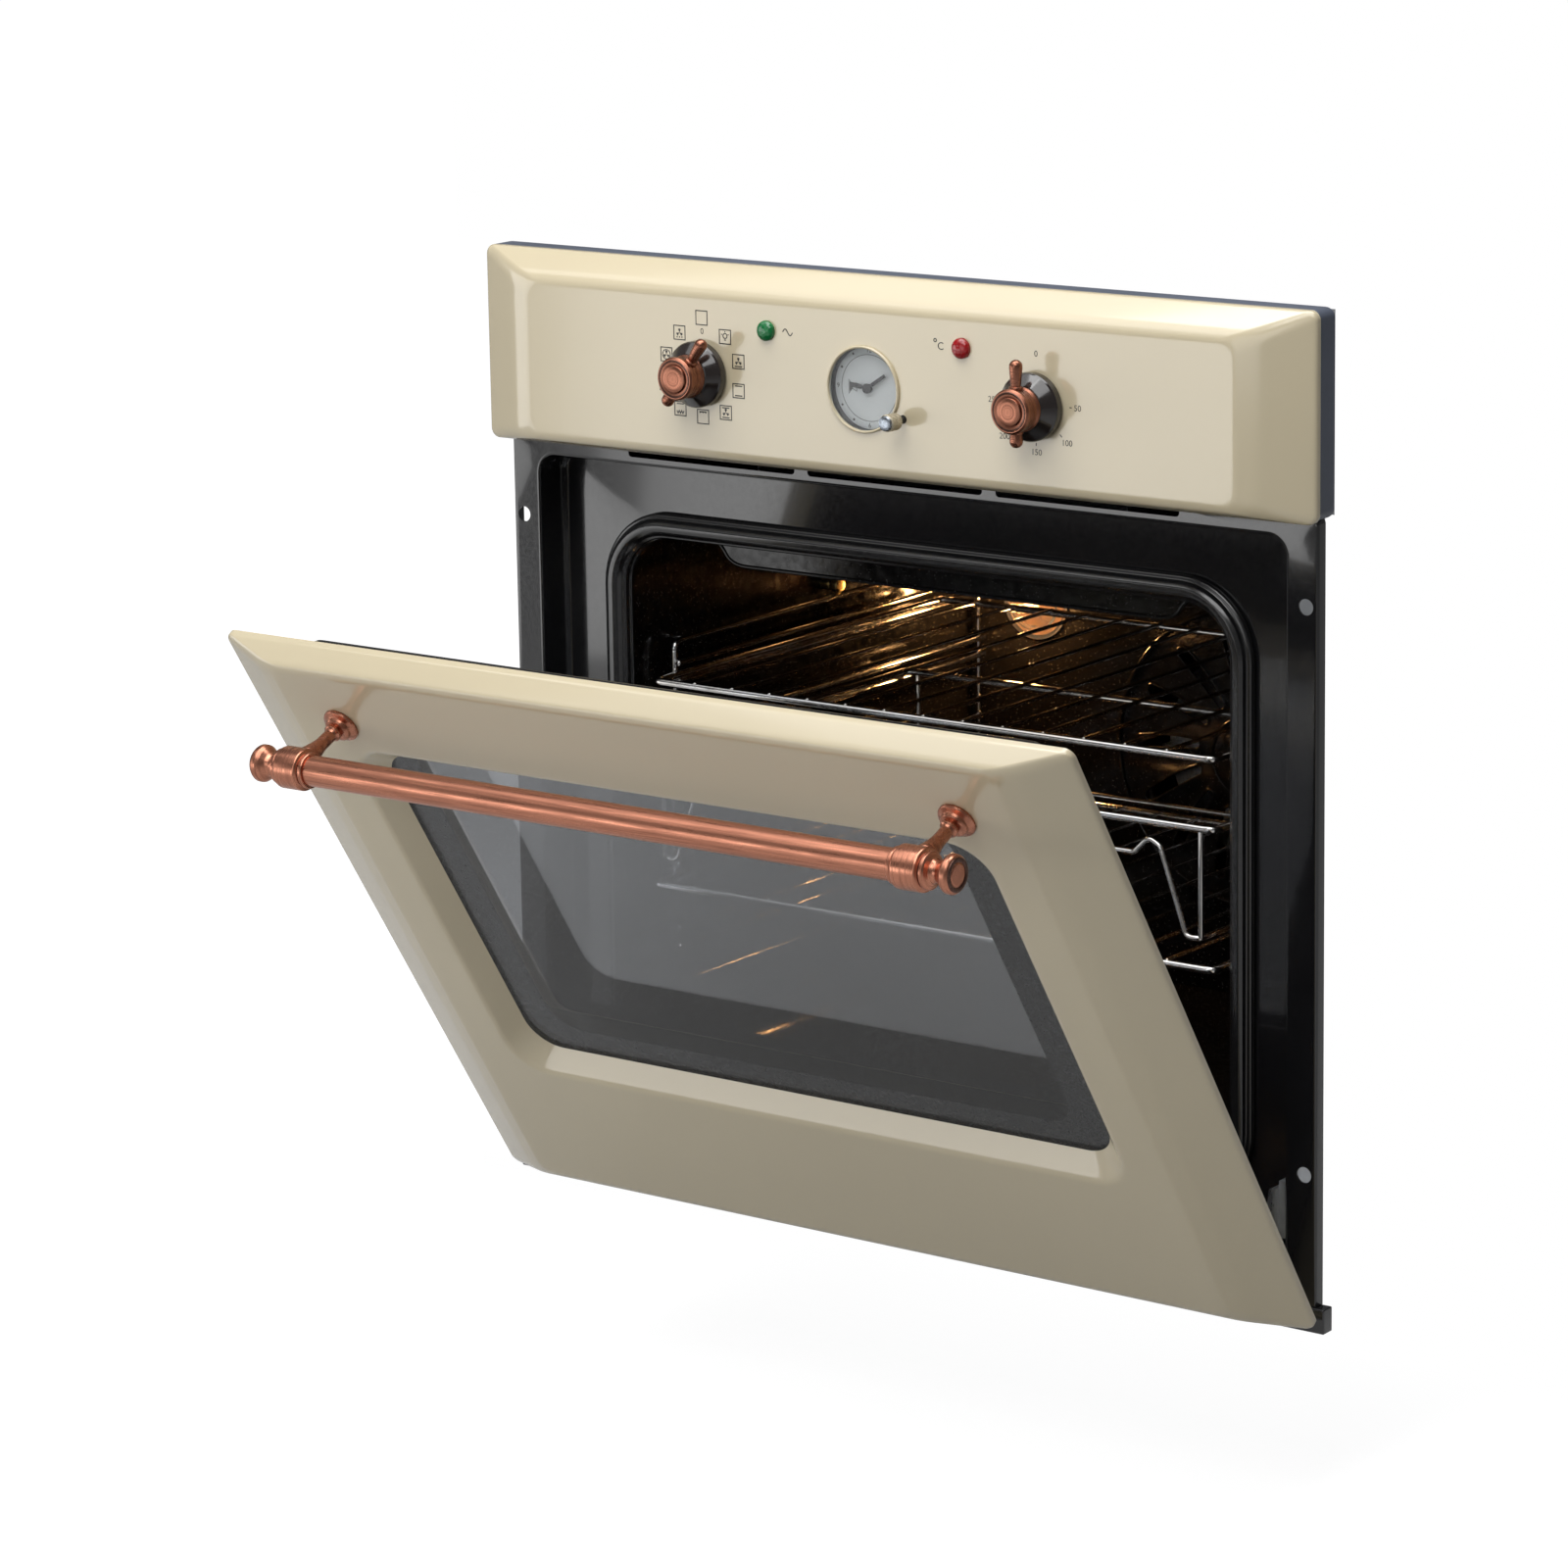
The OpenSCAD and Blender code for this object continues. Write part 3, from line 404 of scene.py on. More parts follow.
def rounded_path(corners, bend, closed=False, steps=6):
    """Rounds a path's corners with bends of the given radius."""
    corners = [Vector(c) for c in corners]
    path = []
    for i, here in enumerate(corners):
        if not closed and i in (0, len(corners) - 1):
            path.append(here)
            continue
        before = corners[i - 1] - here
        after = corners[(i + 1) % len(corners)] - here
        angle = before.angle(after)
        if angle > math.radians(176):
            path.append(here)
            continue
        reach = min(bend / math.tan(angle / 2), before.length * 0.48, after.length * 0.48)
        start = here + before.normalized() * reach
        end = here + after.normalized() * reach
        path.extend(bezier(start, here, end, steps))
    return path


def bezier(a, b, c, steps=5):
    """Points of a soft corner from a past b to c."""
    return [
        tuple(p * (1 - t) ** 2 + 2 * q * t * (1 - t) + r * t * t for p, q, r in zip(a, b, c))
        for t in (i / steps for i in range(steps + 1))
    ]


def soft(corners, cut, steps=5):
    """Rounds the corners of a profile of number pairs."""
    return [(a, b) for a, b, _ in rounded_path([(a, b, 0) for a, b in corners], cut, steps=steps)]


def quarter(radius, height, base=0):
    """A profile that closes over the axis in a quarter of an oval."""
    turns = [math.pi / 2 * k / 8 for k in range(9)]
    return [(max(radius * math.cos(a), POINT), base + height * math.sin(a)) for a in turns]


def circle_of(x, z, radius, steps=20, start=0, span=360):
    """(x, z) pairs round a circle, or along part of it."""
    turns = [
        math.radians(start + span * i / steps) for i in range(steps if span == 360 else steps + 1)
    ]
    return [(x + radius * math.cos(a), z + radius * math.sin(a)) for a in turns]


def turned_about(points, degrees, z=0):
    """(x, z) pairs turned clockwise about the origin, then raised by z."""
    a = math.radians(degrees)
    return [
        (u * math.cos(a) + v * math.sin(a), z - u * math.sin(a) + v * math.cos(a)) for u, v in points
    ]


def make_mesh(name, shape, matrix, materials, angle=SMOOTH):
    """One object from a Shape: welded, facing outwards, smooth below the angle."""
    mesh = bpy.data.meshes.new(name)
    mesh.from_pydata([matrix @ Vector(p) for p in shape.points], [], shape.faces)
    for material in materials:
        mesh.materials.append(material)
    mesh.polygons.foreach_set("material_index", shape.slots)
    bm = bmesh.new()
    bm.from_mesh(mesh)
    bmesh.ops.remove_doubles(bm, verts=bm.verts, dist=WELD)
    bmesh.ops.recalc_face_normals(bm, faces=bm.faces)
    bm.to_mesh(mesh)
    bm.free()
    mesh.polygons.foreach_set("use_smooth", [True] * len(mesh.polygons))
    mesh.set_sharp_from_angle(angle=math.radians(angle))
    return linked(name, mesh)


def linked(name, data):
    """A new object in the scene."""
    obj = bpy.data.objects.new(name, data)
    bpy.context.collection.objects.link(obj)
    return obj


def drawn(name, shape, finishes, angle=SMOOTH, on_door=False):
    """A piece's mesh in its place, with one finish or several."""
    names = [finishes] if isinstance(finishes, str) else finishes
    return make_mesh(name, shape, placed(on_door), [finish(one) for one in names], angle)


def evaluated(obj):
    """A plain mesh of what an object's modifiers or curves make."""
    graph = bpy.context.evaluated_depsgraph_get()
    graph.update()
    return bpy.data.meshes.new_from_object(obj.evaluated_get(graph))


def settle(obj):
    """Turns an object with live modifiers into a plain mesh with none."""
    mesh = evaluated(obj)
    old = obj.data
    obj.modifiers.clear()
    obj.data = mesh
    mesh.name = obj.name
    bpy.data.meshes.remove(old)


def cut_out(obj, shape, angle=SMOOTH):
    """Cuts a Shape's closed surfaces out of a piece."""
    cutter = make_mesh(obj.name + "_cutter", shape, placed(), [])
    change = obj.modifiers.new("cut", "BOOLEAN")
    change.operation = "DIFFERENCE"
    change.solver = "EXACT"
    change.object = cutter
    settle(obj)
    bpy.data.objects.remove(cutter)
    obj.data.set_sharp_from_angle(angle=math.radians(angle))


def hand_over(obj, body, slot, *replaced):
    """Says which body the piece rides on and hides the CAD nodes it stands for; the material slot is not
    used.
    """
    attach(obj, body)
    if replaced:
        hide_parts(*replaced)


def piece(name, shape, body, slot, finishes, *replaced, angle=SMOOTH):
    """Makes a Shape a finished piece of the oven; a piece of the door stands open with it."""
    hand_over(drawn(name, shape, finishes, angle, body == "door"), body, slot, *replaced)


def join_pieces(name, objects):
    """Joins settled meshes into one object at the origin."""
    base = objects[0]
    merged = bmesh.new()
    materials = []
    for obj in objects:
        part = bmesh.new()
        part.from_mesh(obj.data)
        own = obj.data.materials
        for face in part.faces:
            material = own[min(face.material_index, len(own) - 1)]
            if material not in materials:
                materials.append(material)
            face.material_index = materials.index(material)
        spare = bpy.data.meshes.new("spare")
        part.to_mesh(spare)
        part.free()
        merged.from_mesh(spare)
        bpy.data.meshes.remove(spare)
    mesh = bpy.data.meshes.new(name)
    merged.to_mesh(mesh)
    merged.free()
    for material in materials:
        mesh.materials.append(material)
    for obj in objects[1:]:
        bpy.data.objects.remove(obj)
    base.data = mesh
    base.name = name
    return base


def effect_group(name, inputs, outputs):
    """An empty shader node group with named sockets, and its two end nodes."""
    group = bpy.data.node_groups.new(name, "ShaderNodeTree")
    kinds = {"color": "NodeSocketColor", "value": "NodeSocketFloat", "vector": "NodeSocketVector"}
    for way, sockets in (("INPUT", inputs), ("OUTPUT", outputs)):
        for label, kind in sockets.items():
            group.interface.new_socket(label, in_out=way, socket_type=kinds[kind])
    return group, group.nodes.new("NodeGroupInput"), group.nodes.new("NodeGroupOutput")


def feed(group, node, **values):
    """Links sockets or sets numbers on a node's inputs, written with _ for a space."""
    for key, value in values.items():
        socket = node.inputs[key.replace("_", " ")]
        if isinstance(value, bpy.types.NodeSocket):
            group.links.new(value, socket)
        else:
            socket.default_value = value
    return node


def noise_in(group, vector, scale, detail):
    """The value of a noise texture in a group."""
    noise = group.nodes.new("ShaderNodeTexNoise")
    return feed(group, noise, Vector=vector, Scale=scale, Detail=detail).outputs["Fac"]


def spread_in(group, value, low, high, to_low=0.0, to_high=1.0):
    """A clamped map range in a group."""
    node = group.nodes.new("ShaderNodeMapRange")
    feed(group, node, Value=value, From_Min=low, From_Max=high, To_Min=to_low, To_Max=to_high)
    return node.outputs["Result"]


def blend_in(group, factor, first, second):
    """Mixes two colours in a group."""
    node = group.nodes.new("ShaderNodeMix")
    node.data_type = "RGBA"
    return feed(group, node, Factor=factor, A=first, B=second).outputs["Result"]


def math_in(tree, operation, first, second, clamp=False):
    """One step of arithmetic in a node tree."""
    node = tree.nodes.new("ShaderNodeMath")
    node.operation = operation
    node.use_clamp = clamp
    for socket, value in zip(node.inputs, (first, second)):
        if isinstance(value, bpy.types.NodeSocket):
            tree.links.new(value, socket)
        else:
            socket.default_value = value
    return node.outputs[0]


def surface_group(name, more, paint):
    """A shared effect that turns a place into colour, roughness and height."""
    found = bpy.data.node_groups.get(name)
    if found:
        return found
    inputs = {"Vector": "vector", "Color": "color", "Shade": "color"}
    inputs.update({label: "value" for label in more + ("Low Roughness", "High Roughness")})
    outputs = {"Color": "color", "Roughness": "value", "Height": "value"}
    group, start, end = effect_group(name, inputs, outputs)
    color, height = paint(group, start.outputs)
    rough = spread_in(
        group, height, 0.3, 0.7, start.outputs["Low Roughness"], start.outputs["High Roughness"]
    )
    feed(group, end, Color=color, Roughness=rough, Height=height)
    return group


def soft_coat_group():
    """Slow patches of tone with fine grain, for enamel, paint, rubber and plastic."""

    def paint(group, given):
        patches = noise_in(group, given["Vector"], given["Patch Scale"], 2.0)
        grain = noise_in(group, given["Vector"], given["Grain Scale"], 4.0)
        share = spread_in(group, patches, 0.3, 0.75)
        return blend_in(group, share, given["Color"], given["Shade"]), grain

    return surface_group("soft coat", ("Patch Scale", "Grain Scale"), paint)


def brushed_group():
    """Fine streaks with darker lines among them, for brushed and turned metal."""

    def paint(group, given):
        streaks = noise_in(group, given["Vector"], given["Streak Scale"], 5.0)
        slow = noise_in(group, given["Vector"], 22.0, 2.0)
        lines = math_in(group, "MULTIPLY", spread_in(group, streaks, 0.42, 0.72), slow)
        depth = math_in(group, "MULTIPLY", lines, given["Darkness"], clamp=True)
        return blend_in(group, depth, given["Color"], given["Shade"]), streaks

    return surface_group("brushed grain", ("Streak Scale", "Darkness"), paint)


def fleck_group():
    """Scattered light flecks in a dark glaze."""
    found = bpy.data.node_groups.get("glaze flecks")
    if found:
        return found
    group, start, end = effect_group(
        "glaze flecks",
        {"Vector": "vector", "Color": "color", "Fleck": "color", "Scale": "value", "Size": "value"},
        {"Color": "color", "Mask": "value"},
    )
    given = start.outputs
    cells = group.nodes.new("ShaderNodeTexVoronoi")
    feed(group, cells, Vector=given["Vector"], Scale=given["Scale"])
    small = math_in(group, "LESS_THAN", cells.outputs["Distance"], given["Size"])
    feed(group, end, Color=blend_in(group, small, given["Color"], given["Fleck"]), Mask=small)
    return group


# Depth in metres of the grain in brushed metal
GRAIN = 0.0001


class Finish:
    """A material under construction, with its surface shader at hand."""

    def __init__(self, name):
        self.material = bpy.data.materials.new(name)
        self.material.use_nodes = True
        self.tree = self.material.node_tree
        self.shader = self.tree.nodes["Principled BSDF"]

    def node(self, kind, **settings):
        made = self.tree.nodes.new(kind)
        for key, value in settings.items():
            setattr(made, key, value)
        return made

    def link(self, a, b):
        self.tree.links.new(a, b)

    def math(self, operation, first, second, clamp=False):
        return math_in(self.tree, operation, first, second, clamp)

    def numbers(self, **values):
        """Links or sets the shader's own sockets."""
        feed(self.tree, self.shader, **values)
        return self.material

    def place(self, scale=(1, 1, 1), location=(0, 0, 0)):
        """Object coordinates through a Mapping node."""
        where = self.node("ShaderNodeTexCoord")
        mapping = self.node("ShaderNodeMapping")
        feed(self.tree, mapping, Vector=where.outputs["Object"], Scale=scale, Location=location)
        return mapping.outputs["Vector"]

    def group(self, tree, vector, **values):
        made = self.node("ShaderNodeGroup", node_tree=tree)
        colors = {key: (*value, 1) for key, value in values.items() if isinstance(value, tuple)}
        return feed(self.tree, made, Vector=vector, **{**values, **colors})

    def bump(self, height, strength, distance):
        made = feed(
            self.tree, self.node("ShaderNodeBump"), Strength=strength, Distance=distance, Height=height
        )
        self.link(made.outputs["Normal"], self.shader.inputs["Normal"])

    def coat(self, vector, color, shade, patch, grain, low, high):
        """The soft coat's colour, roughness and height."""
        return self.group(
            soft_coat_group(), vector, Color=tone(color), Shade=tone(shade), Patch_Scale=patch,
            Grain_Scale=grain, Low_Roughness=low, High_Roughness=high,
        ).outputs

    def brushed(self, vector, color, dark, streaks, darkness, low, high):
        """The brushed grain's colour, roughness and height."""
        return self.group(
            brushed_group(), vector, Color=tone(color), Shade=tone(dark), Streak_Scale=streaks,
            Darkness=darkness, Low_Roughness=low, High_Roughness=high,
        ).outputs

    def wear(self, made, strength, distance=0.0002):
        """Feeds a group's colour, roughness and height to the shader."""
        self.numbers(Base_Color=made["Color"], Roughness=made["Roughness"])
        self.bump(made["Height"], strength, distance)


def tone(color):
    """A colour given as three numbers, or as one of the scene's finishes and a factor."""
    if not isinstance(color[0], str):
        return color
    name, factor = color
    return tuple(c * factor for c in getattr(bpy.context.scene.oven_finishes, name))


MADE = {}


def finish(name):
    """The named material, made once."""
    if name not in MADE:
        if name in COATS:
            MADE[name] = coated(name, *COATS[name])
        elif name in METALS:
            MADE[name] = brushed_metal(name, *METALS[name])
        elif name in PANES:
            MADE[name] = pane(name, *PANES[name])
        else:
            MADE[name] = RECIPES[name](name)
    return MADE[name]


def coated(name, color, shade, patch, grain, low, high, strength, distance, numbers, scale=(1, 1, 1)):
    """A plain finish with tone and grain from the soft coat."""
    f = Finish(name)
    f.wear(f.coat(f.place(scale), color, shade, patch, grain, low, high), strength, distance)
    return f.numbers(**numbers)


def brushed_metal(name, color, dark, scale, streaks, darkness, low, high):
    """Metal whose streaks run where the scale is small."""
    f = Finish(name)
    f.wear(f.brushed(f.place(scale), color, dark, streaks, darkness, low, high), 0.12, GRAIN)
    return f.numbers(Metallic=1.0)


def pane(name, color, ior):
    """See-through glass whose tint changes a little from place to place."""
    f = Finish(name)
    made = f.coat(f.place(), color, tuple(c * 0.94 for c in color), 6.0, 60.0, 0.0, 0.015)
    return f.numbers(
        Base_Color=made["Color"], Roughness=made["Roughness"], Transmission_Weight=1.0, IOR=ior
    )


def oven_enamel(name):
    """Dark glaze with light flecks."""
    f = Finish(name)
    place = f.place()
    flecks = f.group(
        fleck_group(), place, Color=(0.004, 0.0036, 0.0034), Fleck=(0.08, 0.08, 0.083), Scale=430.0,
        Size=0.13,
    )
    made = f.coat(place, (0.01, 0.01, 0.01), (0.02, 0.02, 0.02), 12.0, 170.0, 0.08, 0.24)
    f.bump(made["Height"], 0.1, 0.0006)
    return f.numbers(
        Base_Color=flecks.outputs["Color"], Roughness=made["Roughness"], Specular_IOR_Level=0.35
    )


def copper_ringed(name):
    """Copper turned on a lathe, with rings round the knob's axis."""
    p = plan()
    x = p.knob_x if "right" in name else -p.knob_x
    f = Finish(name)
    split = f.node("ShaderNodeSeparateXYZ")
    f.link(f.place(location=(-x * MM, 0, -p.knob_z * MM)), split.inputs["Vector"])
    flat = f.node("ShaderNodeCombineXYZ")
    feed(f.tree, flat, X=split.outputs["X"], Z=split.outputs["Z"])
    reach = f.node("ShaderNodeVectorMath", operation="LENGTH")
    f.link(flat.outputs["Vector"], reach.inputs[0])
    rings = f.node("ShaderNodeCombineXYZ")
    feed(f.tree, rings, X=reach.outputs["Value"], Y=split.outputs["Y"])
    grain = f.brushed(rings.outputs["Vector"], ("copper", 0.64), ("patina", 1), 1500.0, 1.3, 0.2, 0.4)
    f.wear(grain, 0.16, GRAIN)
    return f.numbers(Metallic=1.0, Anisotropic=0.4)


def zinc_sheet(name):
    """Zinc with a faint spangle."""
    f = Finish(name)
    place = f.place()
    spangle = f.node("ShaderNodeTexVoronoi")
    feed(f.tree, spangle, Scale=70.0, Vector=place)
    mix = f.node("ShaderNodeMix", data_type="RGBA")
    feed(f.tree, mix, A=(0.4, 0.42, 0.44, 1), B=(0.56, 0.58, 0.6, 1), Factor=spangle.outputs["Distance"])
    grain = f.brushed(place, (0.5, 0.5, 0.5), (0.3, 0.3, 0.3), 160.0, 0.4, 0.34, 0.5)
    f.bump(grain["Height"], 0.05, GRAIN)
    return f.numbers(Base_Color=mix.outputs["Result"], Roughness=grain["Roughness"], Metallic=1.0)


def lamp_glass(name):
    """The oven lamp's lens with a faint glow."""
    f = Finish(name)
    made = f.coat(f.place(), (1.0, 0.78, 0.5), (1.0, 0.62, 0.3), 60.0, 200.0, 0.03, 0.08)
    f.wear(made, 0.1, 0.0005)
    return f.numbers(Emission_Color=made["Color"], Emission_Strength=0.06, Transmission_Weight=1.0)


def signal_lens(name):
    """A coloured lens with small facets inside."""
    color, shade, glow = LENSES[name]
    f = Finish(name)
    place = f.place()
    cells = f.node("ShaderNodeTexVoronoi")
    feed(f.tree, cells, Scale=420.0, Vector=place)
    made = f.coat(place, color, shade, 180.0, 500.0, 0.08, 0.16)
    f.bump(cells.outputs["Distance"], 0.6, 0.0006)
    return f.numbers(
        Base_Color=made["Color"], Roughness=made["Roughness"], Emission_Color=(*glow, 1),
        Emission_Strength=0.03, Coat_Weight=0.5, Coat_Roughness=0.03,
    )


# Colour, shade, patch scale, grain scale, lowest and highest roughness, bump strength and distance,
# then what is set on the shader itself
COATS = {
    "cream enamel": (
        ("cream", 1), ("cream", 0.965), 9.0, 260.0, 0.16, 0.22, 0.02, 0.0002,
        {"Coat_Weight": 0.8, "Coat_Roughness": 0.09, "Coat_IOR": 1.5},
    ),
    "black enamel": (
        ("black", 1), ("black", 1.5), 14.0, 420.0, 0.11, 0.17, 0.03, 0.0003,
        {"Coat_Weight": 0.6, "Coat_Roughness": 0.05},
    ),
    "box enamel": (("box", 1), ("box", 0.7), 10.0, 500.0, 0.3, 0.4, 0.08, 0.0003, {}),
    "black gloss": (
        (0.013, 0.0095, 0.009), (0.022, 0.016, 0.015), 30.0, 600.0, 0.13, 0.22, 0.03, 0.0002,
        {"Coat_Weight": 0.6, "Coat_Roughness": 0.05},
    ),
    "black rubber": (
        (0.008, 0.008, 0.009), (0.014, 0.014, 0.015), 25.0, 350.0, 0.16, 0.26, 0.06, 0.0002,
        {"Specular_IOR_Level": 0.9},
    ),
    "chromed wire": (
        (0.72, 0.73, 0.75), (0.5, 0.47, 0.43), 18.0, 300.0, 0.07, 0.2, 0.06, 0.0002,
        {"Metallic": 1.0},
    ),
    "glass wool": (
        (0.5, 0.43, 0.24), (0.34, 0.28, 0.14), 45.0, 900.0, 0.85, 1.0, 0.8, 0.002, {}, (1, 0.3, 1),
    ),
    "pale ceramic": ((0.68, 0.65, 0.57), (0.56, 0.53, 0.46), 40.0, 500.0, 0.45, 0.6, 0.08, 0.0002, {}),
    "pale plastic": ((0.74, 0.73, 0.68), (0.68, 0.67, 0.62), 20.0, 500.0, 0.4, 0.5, 0.08, 0.0002, {}),
    "dark plastic": (
        (0.012, 0.012, 0.014), (0.02, 0.02, 0.022), 30.0, 500.0, 0.35, 0.5, 0.08, 0.0002, {},
    ),
    "champagne": (
        (0.66, 0.61, 0.5), (0.55, 0.49, 0.37), 60.0, 500.0, 0.18, 0.3, 0.04, 0.0002,
        {"Metallic": 0.35, "Coat_Weight": 0.4, "Coat_Roughness": 0.06},
    ),
    "clock rim": (
        ("cream", 1), ("cream", 0.94), 60.0, 500.0, 0.2, 0.3, 0.03, 0.0002,
        {"Coat_Weight": 0.5, "Coat_Roughness": 0.06},
    ),
    "dial wall": (
        (0.075, 0.078, 0.082), (0.055, 0.057, 0.06), 50.0, 500.0, 0.4, 0.55, 0.08, 0.0002, {},
    ),
    "dial paint": ((0.76, 0.79, 0.8), (0.7, 0.73, 0.74), 50.0, 700.0, 0.5, 0.62, 0.08, 0.0002, {}),
    "print ink": ((0.03, 0.026, 0.022), (0.05, 0.045, 0.04), 200.0, 900.0, 0.35, 0.45, 0.08, 0.0002, {}),
    "glass print": (
        (0.006, 0.006, 0.0065), (0.009, 0.009, 0.01), 20.0, 400.0, 0.2, 0.3, 0.02, 0.0002,
        {"Specular_IOR_Level": 0.3},
    ),
}

# Colour, dark streaks, scale of the grain, streak scale, darkness, lowest and highest roughness
METALS = {
    "copper bar": (("copper", 1), ("patina", 1), (0.035, 1, 1), 900.0, 0.75, 0.22, 0.42),
    "copper turned": (("copper", 1), ("patina", 1), (1, 0.06, 0.06), 900.0, 0.85, 0.2, 0.38),
    "copper post": (("copper", 0.86), ("patina", 1), (0.5, 0.5, 0.5), 500.0, 1.1, 0.2, 0.36),
    "copper dark": ((0.13, 0.07, 0.055), (0.035, 0.018, 0.016), (1, 1, 1), 500.0, 0.9, 0.2, 0.4),
    "plain steel": ((0.55, 0.56, 0.57), (0.25, 0.25, 0.25), (1, 1, 0.2), 500.0, 0.6, 0.25, 0.42),
    "heater steel": ((0.09, 0.075, 0.065), (0.03, 0.02, 0.016), (1, 1, 1), 220.0, 1.0, 0.4, 0.6),
    "brass nut": ((0.7, 0.5, 0.2), (0.2, 0.1, 0.03), (0.1, 1, 1), 500.0, 0.9, 0.2, 0.36),
    "knob steel": ((0.3, 0.33, 0.37), (0.15, 0.16, 0.18), (1, 1, 1), 700.0, 0.5, 0.2, 0.34),
}

PANES = {
    "tinted glass": ((0.72, 0.73, 0.75), 1.38),
    "clear glass": ((0.8, 0.82, 0.84), 3.0),
    "clock pane": ((0.97, 0.98, 0.98), 1.25),
}

LENSES = {
    "green lens": ((0.001, 0.1, 0.025), (0.004, 0.2, 0.05), (0.0, 0.4, 0.1)),
    "red lens": ((0.26, 0.002, 0.005), (0.4, 0.006, 0.01), (0.6, 0.0, 0.01)),
}

RECIPES = {
    "oven enamel": oven_enamel,
    "copper left knob": copper_ringed,
    "copper right knob": copper_ringed,
    "zinc sheet": zinc_sheet,
    "lamp glass": lamp_glass,
    "green lens": signal_lens,
    "red lens": signal_lens,
}


def repeat_tree():
    """Geometry Nodes that repeat one piece along a step, a turn, or both."""
    found = bpy.data.node_groups.get("repeated piece")
    if found:
        return found
    tree = bpy.data.node_groups.new("repeated piece", "GeometryNodeTree")
    for label, kind in (
        ("Piece", "Object"),
        ("Count", "Int"),
        ("Centre", "Vector"),
        ("Step", "Vector"),
        ("Turn", "Vector"),
        ("Material", "Material"),
    ):
        tree.interface.new_socket(label, in_out="INPUT", socket_type="NodeSocket" + kind)
    tree.interface.new_socket("Geometry", in_out="OUTPUT", socket_type="NodeSocketGeometry")
    nodes = {
        "start": "NodeGroupInput",
        "line": "GeometryNodeMeshLine",
        "source": "GeometryNodeObjectInfo",
        "index": "GeometryNodeInputIndex",
        "turn": "ShaderNodeVectorMath",
        "place": "GeometryNodeInstanceOnPoints",
        "solid": "GeometryNodeRealizeInstances",
        "paint": "GeometryNodeSetMaterial",
        "end": "NodeGroupOutput",
    }
    nodes = {label: tree.nodes.new(kind) for label, kind in nodes.items()}
    nodes["line"].mode = "OFFSET"
    nodes["turn"].operation = "SCALE"
    for giver, output, taker, socket in (
        ("start", "Count", "line", "Count"),
        ("start", "Centre", "line", "Start Location"),
        ("start", "Step", "line", "Offset"),
        ("start", "Piece", "source", "Object"),
        ("start", "Turn", "turn", 0),
        ("index", "Index", "turn", "Scale"),
        ("line", "Mesh", "place", "Points"),
        ("source", "Geometry", "place", "Instance"),
        ("turn", "Vector", "place", "Rotation"),
        ("place", "Instances", "solid", "Geometry"),
        ("solid", "Geometry", "paint", "Geometry"),
        ("start", "Material", "paint", "Material"),
        ("paint", "Geometry", "end", "Geometry"),
    ):
        tree.links.new(nodes[giver].outputs[output], nodes[taker].inputs[socket])
    return tree


def repeated(name, shape, material, copies, centre, step=(0, 0, 0), spin=(0, 0, 0), angle=SMOOTH):
    """A plain mesh of copies of a Shape; centre and step are in millimetres."""
    single = make_mesh(name + "_one", shape, Matrix.Scale(MM, 4), [], angle)
    obj = linked(name, bpy.data.meshes.new(name))
    change = obj.modifiers.new("repeat", "NODES")
    change.node_group = repeat_tree()
    values = {
        "Piece": single,
        "Count": copies,
        "Centre": tuple(placed() @ Vector(centre)),
        "Step": tuple(c * MM for c in step),
        "Turn": spin,
        "Material": finish(material),
    }
    for item in change.node_group.interface.items_tree:
        if item.item_type == "SOCKET" and item.in_out == "INPUT":
            change[item.identifier] = values[item.name]
    settle(obj)
    bpy.data.objects.remove(single)
    return obj


def lettered(text, height, x, z, y):
    """Printed characters that stand a hair in front of the surface at y."""
    curve = bpy.data.curves.new("letters", "FONT")
    curve.body = text
    curve.align_x = "CENTER"
    curve.align_y = "CENTER"
    curve.size = height / CAPITAL * MM
    curve.extrude = PRINT / 2 * MM
    curve.resolution_u = 4
    carrier = linked("letters", curve)
    mesh = evaluated(carrier)
    bpy.data.objects.remove(carrier)
    place = placed() @ Vector((x, y - PRINT / 2, z))
    mesh.transform(Matrix.Translation(place) @ Matrix.Rotation(math.pi / 2, 4, "X"))
    mesh.materials.clear()
    mesh.materials.append(finish("print ink"))
    bm = bmesh.new()
    bm.from_mesh(mesh)
    bmesh.ops.remove_doubles(bm, verts=bm.verts, dist=WELD / 2)
    bm.to_mesh(mesh)
    bm.free()
    return linked("letters", mesh)


def dish_rings(p, low, high, low_bevel, high_bevel):
    """The rings of a pressed dish from its rear edge to its flat face, outer side then inner side."""
    # How much of the sloping border is crossed, which is over 1 on the flat face, and the depth there
    outside = [(0, p.back_y), (0, -11.4)]
    outside += bezier((0, -11.4), (0, -13), (0.07, -14.1))
    outside += bezier((0.68, -23.9), (1, p.face_y), (1.32, p.face_y), 9)
    outside += [(1.4, p.face_y)]
    sides = []
    for thin in (0, p.skin):
        side = []
        for share, y in outside:
            slope = min(share, 1)
            past = max(0, share - 1)
            steep = 0 if past else thin * (1 - 0.55 * slope)
            half = p.half - p.side_bevel * slope - 20 * past - steep
            lower = low + low_bevel * slope + 16 * past + steep
            upper = high - high_bevel * slope - 16 * past - steep
            depth = y + thin * min(1, 0.9 * slope + 4 * past)
            side.append(rounded_ring(half, lower, upper, 6 + 4 * slope - min(steep, 1), depth))
        sides.append(side)
    return sides


def rounded_sheet(half, low, high, radius, y0, y1, edge=0.4):
    """A rounded sheet between two depths with its edges broken."""
    ring = growing(half, low, high, radius, 8)
    small = edge * 0.3
    cuts = ((y0, edge), (y0 + small, small), (y0 + edge, 0), (y1 - edge, 0), (y1, edge))
    return Shape().loft([ring(-cut, y) for y, cut in cuts])


